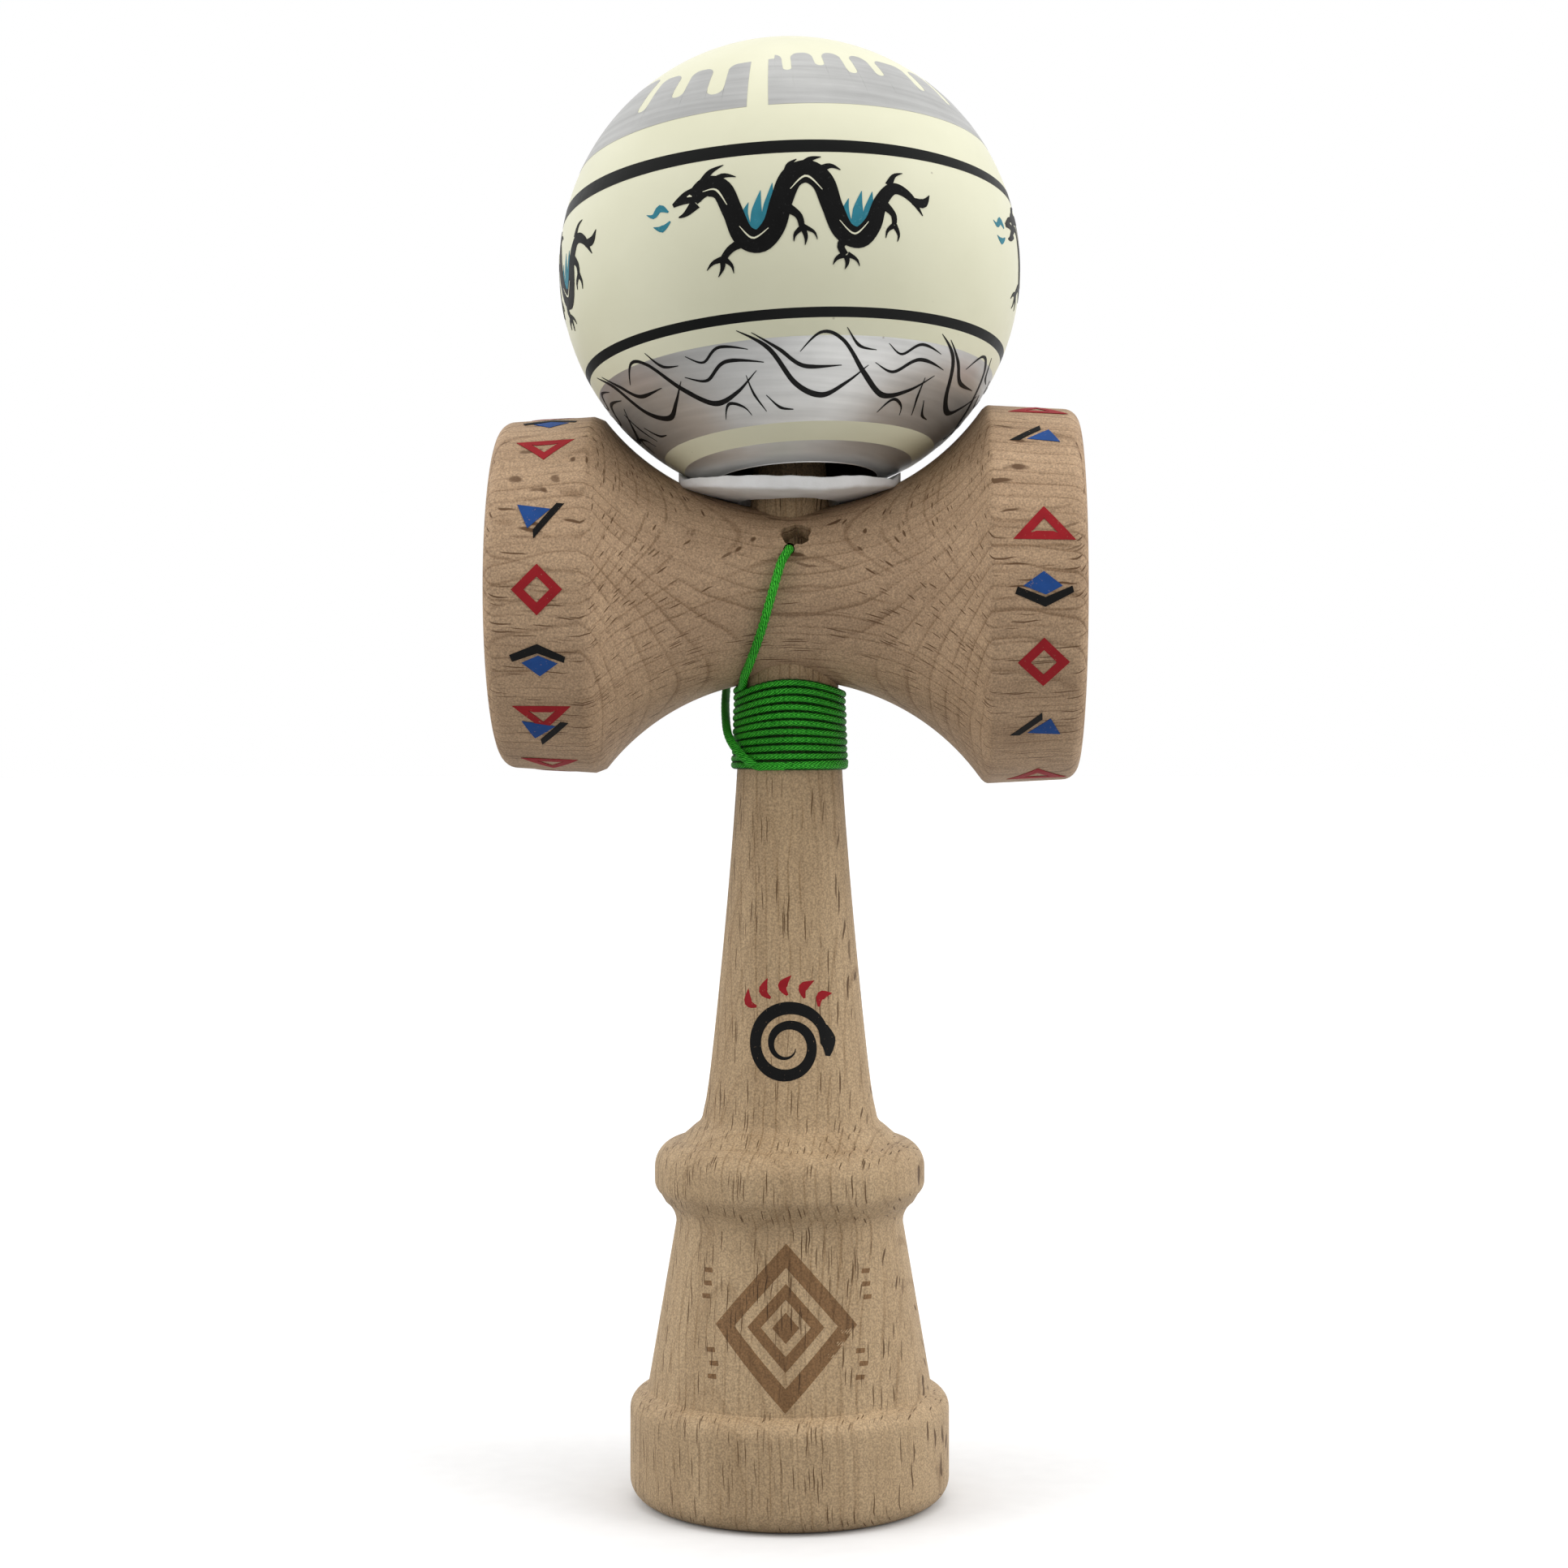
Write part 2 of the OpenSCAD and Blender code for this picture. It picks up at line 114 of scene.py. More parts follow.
def evened(points, step):
    """Catmull-Rom curve through the points, then points a fixed step apart along it."""
    points = [Vector(p) for p in points]
    fine = []
    for i in range(len(points) - 1):
        a, b = points[max(i - 1, 0)], points[i]
        c, d = points[i + 1], points[min(i + 2, len(points) - 1)]
        pieces = max(2, int((c - b).length / step * 2))
        for k in range(pieces):
            t = k / pieces
            fine.append(0.5 * (2 * b + (c - a) * t + (2 * a - 5 * b + 4 * c - d) * t * t
                               + (3 * b - a - 3 * c + d) * t ** 3))
    fine.append(points[-1])
    even, left = [fine[0]], step
    for a, b in zip(fine, fine[1:]):
        gap = (b - a).length
        while gap >= left:
            a = a.lerp(b, left / gap)
            even.append(a)
            gap -= left
            left = step
        left -= gap
    return even


winding = winding_route()
string_points = front_route + winding + back_route + top_route
string_path = [p / 1000 for p in evened(string_points, 0.3)]
string_sides = 14
string_mesh = bpy.data.meshes.new("string")
string = bpy.data.objects.new("string", string_mesh)
scene.collection.objects.link(string)
front_end = sum((Vector(a) - Vector(b)).length for a, b in zip(front_route, front_route[1:])) / 1000
wound_end = front_end + sum(
    (Vector(a) - Vector(b)).length for a, b in zip(winding, winding[1:])) / 1000


def braided_tube(mesh, path, diameter, sides, flat_from=1, flat_to=0):
    """A tube of crossed strands. Between flat_from and flat_to it is pressed on the handle."""
    verts, faces, around, along_at = [], [], [], []
    done = 0
    for i, p in enumerate(path):
        ahead = (path[min(i + 1, len(path) - 1)] - path[max(i - 1, 0)]).normalized()
        if i:
            done += (p - path[i - 1]).length
        out = Vector((p.x, p.y, 0)) if p.z < 0.13 else Vector((1, 0.2, 0.1))
        out = (out - ahead * out.dot(ahead)).normalized()
        over = ahead.cross(out)
        press = (min(max((done - flat_from) / 0.006, 0), 1)
                 * min(max((flat_to - done) / 0.006, 0), 1))
        high, wide = 1 - 0.06 * press, 1 - 0.07 * press
        for k in range(sides):
            a = 2 * math.pi * k / sides
            lay = 4 * a + done * 2 * math.pi / 0.0009
            cross = 4 * a - done * 2 * math.pi / 0.0009
            strand = max(math.sin(lay), math.sin(cross))
            r = diameter / 2 * (0.94 + 0.12 * strand)
            verts.append(p + out * (math.cos(a) * r * high) + over * (math.sin(a) * r * wide))
        along_at.append(done)
    rings = len(path)
    for i in range(rings - 1):
        for k in range(sides):
            j = (k + 1) % sides
            faces.append((i * sides + k, i * sides + j, (i + 1) * sides + j, (i + 1) * sides + k))
            around.append((i, k))
    faces.append(tuple(reversed(range(sides))))
    faces.append(tuple((rings - 1) * sides + k for k in range(sides)))
    mesh.from_pydata(verts, [], faces)
    layer = mesh.uv_layers.new(name="lay")
    for face in mesh.polygons:
        if face.index < len(around):
            i, k = around[face.index]
            corners = ((k, i), (k + 1, i), (k + 1, i + 1), (k, i + 1))
            for loop, (u, v) in zip(face.loop_indices, corners):
                layer.data[loop].uv = (u / sides, along_at[v] * 1000)
    for face in mesh.polygons:
        face.use_smooth = True
    mesh.validate()


braided_tube(string_mesh, string_path, string_d, string_sides, front_end + 0.002, wound_end - 0.008)


def shader_of(name):
    """A new material with its node tree, Principled shader and object coordinates."""
    material = bpy.data.materials.new(name)
    material.use_nodes = True
    tree = material.node_tree
    coordinates = tree.nodes.new("ShaderNodeTexCoord")
    return material, tree, tree.nodes["Principled BSDF"], coordinates


def put(tree, kind, links=(), **values):
    """A node of that kind. links feed its inputs by name or number, values set its own fields."""
    node = tree.nodes.new("ShaderNode" + kind)
    for field, value in values.items():
        setattr(node, field, value)
    for socket, source in links:
        if isinstance(source, bpy.types.NodeSocket):
            tree.links.new(source, node.inputs[socket])
        else:
            node.inputs[socket].default_value = source
    return node


def calc(tree, operation, *values):
    """The output of a Math node of that operation."""
    return put(tree, "Math", enumerate(values), operation=operation).outputs[0]


def noisy(tree, spot, scale, detail=2.0):
    """A noise texture at that place."""
    return put(tree, "TexNoise", [("Vector", spot), ("Scale", scale), ("Detail", detail)])


def blended(tree, amount, first, second, how="MIX"):
    """The colour of a Mix node."""
    return put(tree, "Mix", [(0, amount), (6, first), (7, second)], data_type="RGBA",
               blend_type=how).outputs[2]


def embossed(tree, skin, height, strength, distance):
    """Gives a material a bump from that height."""
    bump = put(tree, "Bump", [("Height", height), ("Strength", strength), ("Distance", distance)])
    tree.links.new(bump.outputs[0], skin.inputs["Normal"])


def shades(tree, source, stops):
    """A colour ramp through (position, colour) stops."""
    ramp = put(tree, "ValToRGB", [("Fac", source)])
    elements = ramp.color_ramp.elements
    while len(elements) < len(stops):
        elements.new(0.5)
    for element, (position, colour) in zip(elements, stops):
        element.position = position
        element.color = (*colour, 1) if len(colour) == 3 else (colour[0],) * 3 + (1,)
    return ramp.outputs["Color"]


green_string, tree, skin, where = shader_of("waxed_green_string")
lay = where.outputs["UV"]
turned = put(tree, "Mapping", [("Vector", lay), ("Scale", (8, 1.1, 1))])
strands = put(tree, "TexWave", [("Vector", turned.outputs[0]), ("Scale", 1.0), ("Distortion", 0.6),
                                ("Detail", 1.0)], bands_direction="DIAGONAL")
fibres = noisy(tree, where.outputs["Object"], 2600.0, 3.0)
wear = noisy(tree, where.outputs["Object"], 150.0, 2.0)
# The braid's colour follows its bump. It is partly its own tone, partly painted shade in the
# grooves between strands and painted highlight on their crests.
woven = calc(tree, "MULTIPLY", strands.outputs["Fac"], fibres.outputs["Fac"])
tint = shades(tree, woven, [(0.0, (0.001, 0.08, 0.001)), (0.2, (0.008, 0.36, 0.008)),
                                       (0.48, (0.13, 0.95, 0.09))])
patch = shades(tree, wear.outputs["Fac"], [(0.3, (0.8,)), (0.7, (1.15,))])
mixed = blended(tree, 1.0, tint, patch, "MULTIPLY")
# painted shade: the valleys between the turns are darkened in colour where shade falls between them
lay_parts = put(tree, "SeparateXYZ", [(0, lay)])
side = calc(tree, "MULTIPLY", lay_parts.outputs[0], 4 * math.pi)
side = calc(tree, "COSINE", side)
valley = shades(tree, side, [(0.0, (0.22,)), (0.35, (1.0,))])
after = calc(tree, "GREATER_THAN", lay_parts.outputs[1], front_end * 1000 + 3)
before = calc(tree, "LESS_THAN", lay_parts.outputs[1], wound_end * 1000)
wound = calc(tree, "MULTIPLY", after, before)
painted_valley_shade = blended(tree, wound, mixed, valley, "MULTIPLY")
tree.links.new(painted_valley_shade, skin.inputs["Base Color"])
embossed(tree, skin, woven, 0.9, 0.0003)
skin.inputs["Roughness"].default_value = 0.45
skin.inputs["Specular IOR Level"].default_value = 0.15
string_mesh.materials.append(green_string)

string_length = sum((a - b).length for a, b in zip(string_path, string_path[1:]))
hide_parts("string_front", "string_winding", "string_back", "string_top")
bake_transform(string)
tuple(string_path[0])
[tuple(p) for p in string_path]

# The two stopper knots, one in the handle's pocket and one under the bead, keep their CAD
# shape and get the string's finish.
for knot in ("ken_knot", "bead_knot"):
    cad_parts[knot].data.materials.clear()
    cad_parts[knot].data.materials.append(green_string)

# --- Handle -------------------------------------------------------------------------------
# Turned from one piece of beech with the grain upright: base cup, cone, collar, flared grip,
# a taper for the crosspiece and the spike. Bare wood, sanded, drilled across for the string.


def turned_piece(name, outline, steps=160):
    """Lathe: a chain of points (r, z) in millimetres from axis to axis, spun round Z."""
    bpy.ops.object.select_all(action="DESELECT")
    bpy.ops.mesh.primitive_plane_add(size=0.001, location=(0, 0, 0))
    piece = bpy.context.object
    piece.name = piece.data.name = name
    bpy.ops.object.mode_set(mode="EDIT")
    bpy.ops.mesh.select_all(action="SELECT")
    bpy.ops.mesh.merge(type="CENTER")
    r, z = outline[0]
    bpy.ops.transform.translate(value=(r / 1000, 0, z / 1000))
    for (r0, z0), (r1, z1) in zip(outline, outline[1:]):
        bpy.ops.mesh.extrude_vertices_move(
            TRANSFORM_OT_translate={"value": ((r1 - r0) / 1000, 0, (z1 - z0) / 1000)})
    bpy.ops.mesh.select_all(action="SELECT")
    bpy.ops.mesh.spin(steps=steps, angle=2 * math.pi, center=(0, 0, 0), axis=(0, 0, 1))
    bpy.ops.mesh.select_all(action="SELECT")
    bpy.ops.mesh.remove_doubles(threshold=0.000002)
    bpy.ops.mesh.normals_make_consistent(inside=False)
    bpy.ops.object.mode_set(mode="OBJECT")
    bpy.ops.object.shade_smooth_by_angle(angle=math.radians(32))
    return piece


def arc(centre, radius, start, end, count):
    """Points on an arc from one angle to another, in degrees."""
    return [(centre[0] + radius * math.cos(math.radians(start + (end - start) * i / count)),
             centre[1] + radius * math.sin(math.radians(start + (end - start) * i / count)))
            for i in range(count + 1)]


def stepped(outline, longest):
    """The same outline with long straights divided, so that grain and shade stay even."""
    full = [outline[0]]
    for (r0, z0), (r1, z1) in zip(outline, outline[1:]):
        n = max(1, math.ceil(math.hypot(r1 - r0, z1 - z0) / longest))
        full += [(r0 + (r1 - r0) * i / n, z0 + (z1 - z0) * i / n) for i in range(1, n + 1)]
    return full


cup_r = 30.5
base_r, base_mouth_r = 20.8, 16.4
tip_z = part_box("ken")[1].z * 1000
grip = [(handle_radius(z) + 0.32 * math.exp(-(z - 50) / 2.2), z)
        for z in (50 + 56.6 * i / 28 for i in range(1, 28))]
ken_outline = (
    [(0, -math.sqrt(cup_r ** 2 - base_mouth_r ** 2) + cup_r)]
    + arc((0, -math.sqrt(cup_r ** 2 - base_mouth_r ** 2)), cup_r, 88,
          math.degrees(math.acos(base_mouth_r / cup_r)), 14)
    + arc((base_r - 3, 3), 3, -90, 0, 10)
    + arc((base_r - 2.4, 14.2 - 2.4), 2.4, 0, 80, 8)
    + [(18.5, 14.4)]
    + arc((14.8 + 3.4, 36), 3.4, 180, 125, 8)
    + arc((17.6 - 2, 39.4 + 2), 2, -50, 0, 6)
    + arc((17.6 - 3.6, 46.8 - 3.6), 3.6, 0, 85, 12)
    + arc((11.32 + 1.9, 50.2), 1.9, 242, 185, 7)
    + grip
    + [(6.35, 106.6), (5.15, 128.8)]
    + arc((0, tip_z - 2.5), 2.5, 5, 88, 8)
    + [(0, tip_z)])
ken = turned_piece("ken_turned", stepped(ken_outline, 2.5))

def drilled(piece, radius_low, radius_high, depth, location, rotation, sides, torn=0.0):
    """Cuts one round hole, tapered where the two radii differ, and uneven all round if torn."""
    bpy.ops.object.select_all(action="DESELECT")
    bpy.ops.mesh.primitive_cone_add(vertices=sides, radius1=radius_low, radius2=radius_high,
                                    depth=depth)
    drill = bpy.context.object
    for vertex in drill.data.vertices:
        around = math.atan2(vertex.co.y, vertex.co.x)
        uneven = 1 + torn * noise.noise(Vector((3 * math.cos(around), 3 * math.sin(around), 7.7)))
        vertex.co.x, vertex.co.y = vertex.co.x * uneven, vertex.co.y * uneven
    drill.rotation_euler, drill.location = rotation, location
    bpy.ops.object.transform_apply(location=True, rotation=True, scale=True)
    bpy.ops.object.select_all(action="DESELECT")
    bpy.context.view_layer.objects.active = piece
    piece.select_set(True)
    cut = piece.modifiers.new("drilled", "BOOLEAN")
    cut.operation, cut.object, cut.solver = "DIFFERENCE", drill, "EXACT"
    bpy.ops.object.modifier_apply(modifier=cut.name)
    bpy.data.objects.remove(drill)


# The string hole goes right through, and widens at the back into the knot's pocket.
drilled(ken, 0.0011, 0.0011, 0.020, (0, 0, 0.1231), (math.pi / 2, 0, 0), 32)
drilled(ken, 0.0021, 0.0021, 0.010, (0, 0.00716, 0.1231), (math.pi / 2, 0, 0), 32)


def beech_grain():
    """Shared beech: growth rings across the first coordinate, fibres and pores along the third."""
    group = bpy.data.node_groups.new("beech_grain", "ShaderNodeTree")
    for label, kind in (("Vector", "Vector"), ("Light", "Color"), ("Dark", "Color"),
                        ("Pore", "Color"), ("Ring Strength", "Float")):
        group.interface.new_socket(label, in_out="INPUT", socket_type="NodeSocket" + kind)
    for label, kind in (("Color", "Color"), ("Height", "Float"), ("Gloss", "Float")):
        group.interface.new_socket(label, in_out="OUTPUT", socket_type="NodeSocket" + kind)
    begin = group.nodes.new("NodeGroupInput")
    end = group.nodes.new("NodeGroupOutput")
    spot = begin.outputs["Vector"]
    # growth rings: thin darker late-wood lines 2 to 5 mm apart, with a slow waver
    bend = noisy(group, spot, 45.0, 2.0)
    shift = put(group, "VectorMath", [(0, bend.outputs["Color"]), (1, (0.5, 0.5, 0.5))],
                operation="SUBTRACT")
    shift = put(group, "VectorMath", [(0, shift.outputs[0]), ("Scale", 0.0035)], operation="SCALE")
    bent = put(group, "VectorMath", [(0, spot), (1, shift.outputs[0])])
    bent = put(group, "VectorMath", [(0, bent.outputs[0]), (1, (1, 1, 0.1))], operation="MULTIPLY")
    rings = put(group, "TexWave", [("Vector", bent.outputs[0]), ("Scale", 185.0),
                                   ("Distortion", 0.0)],
                wave_type="RINGS", rings_direction="Z", wave_profile="SAW")
    late = shades(group, rings.outputs["Fac"], [(0.0, (0.02,)), (0.55, (0.05,)), (0.80, (0.25,)),
                                                (0.93, (1.0,)), (1.0, (0.02,))])
    vary = noisy(group, bent.outputs[0], 170.0, 1.0)
    vary = shades(group, vary.outputs["Fac"], [(0.36, (0.3,)), (0.62, (1.0,))])
    late = calc(group, "MULTIPLY", late, vary)
    # rays on edge: thin lines square to the rings that come and go
    across = put(group, "SeparateXYZ", [(0, bent.outputs[0])])
    gaps = put(group, "TexVoronoi", [("W", across.outputs[1]), ("Scale", 640.0)],
               voronoi_dimensions="1D", feature="DISTANCE_TO_EDGE")
    ray = shades(group, gaps.outputs["Distance"], [(0.03, (1.0,)), (0.10, (0.0,))])
    fade = noisy(group, spot, 140.0, 2.0)
    shown = shades(group, fade.outputs["Fac"], [(0.42, (0.0,)), (0.56, (1.0,))])
    ray = calc(group, "MULTIPLY", ray, shown)
    # fibres: long thin streaks
    long = put(group, "VectorMath", [(0, spot), (1, (1, 1, 0.035))], operation="MULTIPLY")
    fibre = put(group, "TexNoise", [("Vector", long.outputs[0]), ("Scale", 2600.0), ("Detail", 4.0),
                                    ("Roughness", 0.6)])
    cloud = noisy(group, long.outputs[0], 190.0, 3.0)
    # ray flecks: dark dashes along the fibres, thin round the tree and deeper towards its middle
    stir = noisy(group, spot, 260.0, 1.0)
    stir = put(group, "VectorMath", [(0, stir.outputs["Color"]), ("Scale", 0.0006)],
               operation="SCALE")
    cell = put(group, "VectorMath", [(0, spot), (1, stir.outputs[0])])
    cell = put(group, "VectorMath", [(0, cell.outputs[0]), (1, (0.19, 1.5, 0.062))],
               operation="MULTIPLY")
    fleck = put(group, "TexVoronoi", [("Vector", cell.outputs[0]), ("Scale", 2100.0),
                                      ("Randomness", 1.0)])
    chosen = put(group, "SeparateColor", [(0, fleck.outputs["Color"])])
    near = shades(group, fleck.outputs["Distance"],
                  [(0.0, (1.0,)), (0.19, (0.95,)), (0.28, (0.0,))])
    crowd = noisy(group, spot, 75.0, 2.0)
    pick = calc(group, "MULTIPLY_ADD", crowd.outputs["Fac"], -0.8, chosen.outputs[0])
    some = shades(group, pick, [(0.05, (1.0,)), (0.27, (0.45,)), (0.37, (0.0,))])
    pore = calc(group, "MULTIPLY", near, some)
    # tiny specks between them
    speck = noisy(group, spot, 4200.0, 2.0)
    amount = calc(group, "MULTIPLY", late, begin.outputs["Ring Strength"])
    amount = calc(group, "MULTIPLY_ADD", ray, 0.40, amount)
    blend = calc(group, "MULTIPLY_ADD", cloud.outputs["Fac"], 0.8, amount)
    fine = calc(group, "MULTIPLY_ADD", fibre.outputs["Fac"], 0.45, blend)
    span = put(group, "MapRange", [("Value", fine), ("From Min", 0.42),
                                   ("From Max", 1.2)])
    tone = blended(group, span.outputs[0], begin.outputs["Light"], begin.outputs["Dark"])
    dust = shades(group, speck.outputs["Fac"], [(0.33, (0.72,)), (0.66, (1.24,))])
    tone = blended(group, 1.0, tone, dust, "MULTIPLY")
    marked = blended(group, pore, tone, begin.outputs["Pore"])
    group.links.new(marked, end.inputs["Color"])
    low = calc(group, "MULTIPLY_ADD", pore, -1.0, fibre.outputs["Fac"])
    group.links.new(low, end.inputs["Height"])
    rough = calc(group, "MULTIPLY_ADD", fibre.outputs["Fac"], 0.2, 0.52)
    group.links.new(rough, end.inputs["Gloss"])
    return group


grain = beech_grain()


def beech(name, place, turn, light, dark, pore, rings):
    """Bare beech: place and turn set where the middle of the tree was, and the grain's way."""
    material, tree, skin, where = shader_of(name)
    set_in = put(tree, "Mapping", [("Vector", where.outputs["Object"]), ("Location", place),
                                   ("Rotation", turn)])
    wood = put(tree, "Group", node_tree=grain)
    tree.links.new(set_in.outputs[0], wood.inputs["Vector"])
    wood.inputs["Light"].default_value = (*light, 1)
    wood.inputs["Dark"].default_value = (*dark, 1)
    wood.inputs["Pore"].default_value = (*pore, 1)
    wood.inputs["Ring Strength"].default_value = rings
    tree.links.new(wood.outputs["Color"], skin.inputs["Base Color"])
    tree.links.new(wood.outputs["Gloss"], skin.inputs["Roughness"])
    embossed(tree, skin, wood.outputs["Height"], 0.25, 0.00012)
    skin.inputs["Specular IOR Level"].default_value = 0.3
    return material


upright_lay = (0.062, -0.015, 0), (0.02, 0.015, -math.pi / 2 + 0.25)
upright_beech = beech("upright_beech", *upright_lay, (0.50, 0.36, 0.215), (0.29, 0.19, 0.10),
                      (0.11, 0.06, 0.026), 0.34)
ken.data.materials.append(upright_beech)
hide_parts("ken")
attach(ken, "handle")

# --- Crosspiece ---------------------------------------------------------------------------
# Turned from one piece of beech with the grain along X: two cups of unlike size on a waist.
# Bored to a taper for the handle and drilled in front for the string, rough at that hole.
sarado_z, waist_r, saddle_r = 117.7, 11.1, 30.6


def saddle(x):
    return waist_r + saddle_r - math.sqrt(saddle_r ** 2 - x * x)


def cup_side(crest_r, crest_run, band_w, rim_r, lip_w=3.4, rounding=2.0, soft=0.5):
    """From the waist out over the crest and round the lip to the bottom of one cup."""
    reach = math.sqrt(saddle_r ** 2 - (saddle_r + waist_r - (crest_r - soft)) ** 2)
    crest_x = reach + crest_run
    rim_x = crest_x + band_w
    mouth_r = rim_r - lip_w
    centre = rim_x + math.sqrt(cup_r ** 2 - mouth_r ** 2)
    wall = [(saddle(reach * i / 30), reach * i / 30) for i in range(1, 31)]
    crest = [(crest_r - 0.12, crest_x - 0.35), (crest_r, crest_x), (crest_r - 0.03, crest_x + 0.5)]
    rim = arc((rim_r - rounding, rim_x - rounding), rounding, 0, 90, 8)
    mouth = arc((mouth_r + 0.4, rim_x - 0.4), 0.4, 90, 190, 5)
    bowl = arc((0, centre), cup_r, -math.degrees(math.acos((mouth_r - 0.1) / cup_r)), -89, 16)
    return wall + crest + rim + mouth + bowl + [(0, centre - cup_r)]


small_side = cup_side(23.25, 1.3, 12.2, 22.6)
big_side = cup_side(24.6, 0.8, 11.6, 24.1)
sarado_outline = [(r, -x) for r, x in reversed(small_side)] + [(waist_r, 0)] + big_side
sarado = turned_piece("sarado_turned", stepped(sarado_outline, 2.5), steps=192)
sarado.data.transform(Matrix.Translation((0, 0, sarado_z / 1000))
                      @ Matrix.Rotation(math.pi / 2, 4, "Y"))


taper = 1.2 / 22.2
bore_low, bore_high = 0.0064 + 0.010 * taper, 0.0052 - 0.010 * taper
drilled(sarado, bore_low, bore_high, 0.0422, (0, 0, 0.1177), (0, 0, 0), 96)
up_front = math.radians(42)
drilled(sarado, 0.0019, 0.0019, 0.010,
        (0.001, -0.0101 * math.cos(up_front), 0.1177 + 0.0101 * math.sin(up_front)),
        (math.pi / 2 - up_front, 0, 0), 48, torn=0.22)
drilled(sarado, 0.00072, 0.00072, 0.008, (0.0002, -0.0093, 0.1231), (math.pi / 2, 0, 0), 24)
bpy.context.view_layer.objects.active = sarado
bpy.ops.object.shade_smooth_by_angle(angle=math.radians(32))
ring_way = Vector((0, -math.cos(math.radians(50)), -math.sin(math.radians(50))))
ray_way = Vector((0, -math.cos(math.radians(40)), math.sin(math.radians(40))))
along_x = Matrix((ring_way, ray_way, (-1, 0.02, 0))).to_euler()
crosswise_beech = beech("crosswise_beech", (0.155, -0.075, 0), tuple(along_x),
                        (0.48, 0.33, 0.206), (0.25, 0.156, 0.088), (0.115, 0.060, 0.028), 0.56)
sarado.data.materials.append(crosswise_beech)
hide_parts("sarado")
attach(sarado, "handle")

# --- Ball ---------------------------------------------------------------------------------
# Turned beech under satin cream paint, with silver bands and thin black lines sprayed on the
# lathe. Bored from below for the spike, with a chamber for the bead and a string hole on top.
ball_r, mouth_r = 30.0, 10.7
lean, roll = math.radians(7.75), math.radians(3.25)
ball_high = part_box("tama")[1]
ball_centre = Vector((0, 0, ball_high.z - 0.02999))
ball_place = (Matrix.Translation(ball_centre) @ Matrix.Rotation(-roll, 4, "Y")
              @ Matrix.Rotation(-lean, 4, "X"))


def at_height(h):
    return (math.sqrt(max(ball_r ** 2 - h * h, 0)), h)


mouth_h = math.sqrt(ball_r ** 2 - mouth_r ** 2)
bands = [(-29, -26.15, "silver"), (-26.15, -24.4, "cream"), (-24.4, -15.75, "silver"),
         (-15.75, -13.82, "cream"), (-13.82, -12.66, "black"), (-12.66, 29.9, "cream")]
skin_line = [at_height(-mouth_h + 0.55)]
for low, high, paint in bands:
    a0, a1 = math.asin(max(low, -mouth_h + 0.55) / ball_r), math.asin(high / ball_r)
    n = max(1, math.ceil((a1 - a0) / math.radians(2.4)))
    angles = [a0 + (a1 - a0) * i / n for i in range(1, n + 1)]
    skin_line += [(ball_r * math.cos(a), ball_r * math.sin(a)) for a in angles]
skin_line = [p for p in skin_line if p[0] > 2.05]
skin_line.append((2.0, math.sqrt(ball_r ** 2 - 4.0) - 0.05))
hollow = [(1.9, 29.6), (1.9, 20.0), (5.7, 16), (5.7, 8), (10.5, -27.2), (10.7, -28.0),
          (10.95, -27.85)]
tama = turned_piece("tama_turned", skin_line + stepped(hollow, 4)[:-1] + [(10.75, -27.9)]
                    + [skin_line[0]], steps=192)


def painted(name, colour, dark, roughness, metal=0.0, streak=0.0, shine=0.35):
    """Sprayed paint: faint cloudiness, small specks of dirt, and brush streaks if asked for."""
    material, tree, skin, where = shader_of(name)
    spot = where.outputs["Object"]
    cloud = noisy(tree, spot, 70.0, 4.0)
    tint = shades(tree, cloud.outputs["Fac"], [(0.3, dark), (0.7, colour)])
    specks = put(tree, "TexVoronoi", [("Vector", spot), ("Scale", 330.0)])
    chosen = put(tree, "SeparateColor", [(0, specks.outputs["Color"])])
    near = shades(tree, specks.outputs["Distance"], [(0.0, (1.0,)), (0.07, (0.0,))])
    few = shades(tree, chosen.outputs[0], [(0.0, (0.8,)), (0.10, (0.0,))])
    dirt = calc(tree, "MULTIPLY", near, few)
    mixed = blended(tree, dirt, tint, (0.12, 0.08, 0.05, 1))
    back = put(tree, "Mapping", [("Vector", spot), ("Location", tuple(-ball_centre))])
    upright = put(tree, "Mapping", [("Vector", back.outputs[0]), ("Rotation", (lean, 0, 0))])
    turned = put(tree, "VectorMath", [(0, upright.outputs[0]), (1, (0.05, 0.05, 1.0))],
                 operation="MULTIPLY")
    brushed = noisy(tree, turned.outputs[0], 1500.0, 3.0)
    lines = shades(tree, brushed.outputs["Fac"], [(0.3, (1 - streak,)), (0.7, (1 + streak / 2,))])
    final = blended(tree, 1.0, mixed, lines, "MULTIPLY")
    tree.links.new(final, skin.inputs["Base Color"])
    fine = noisy(tree, spot, 900.0, 3.0)
    rough = put(tree, "MapRange", [("Value", fine.outputs["Fac"]), ("To Min", roughness - 0.08),
                                   ("To Max", roughness + 0.08)])
    tree.links.new(rough.outputs[0], skin.inputs["Roughness"])
    both = calc(tree, "MULTIPLY_ADD", brushed.outputs["Fac"], 0.3 + streak * 2, fine.outputs["Fac"])
    embossed(tree, skin, both, 0.12, 0.00006)
    skin.inputs["Metallic"].default_value = metal
    skin.inputs["Specular IOR Level"].default_value = shine
    return material


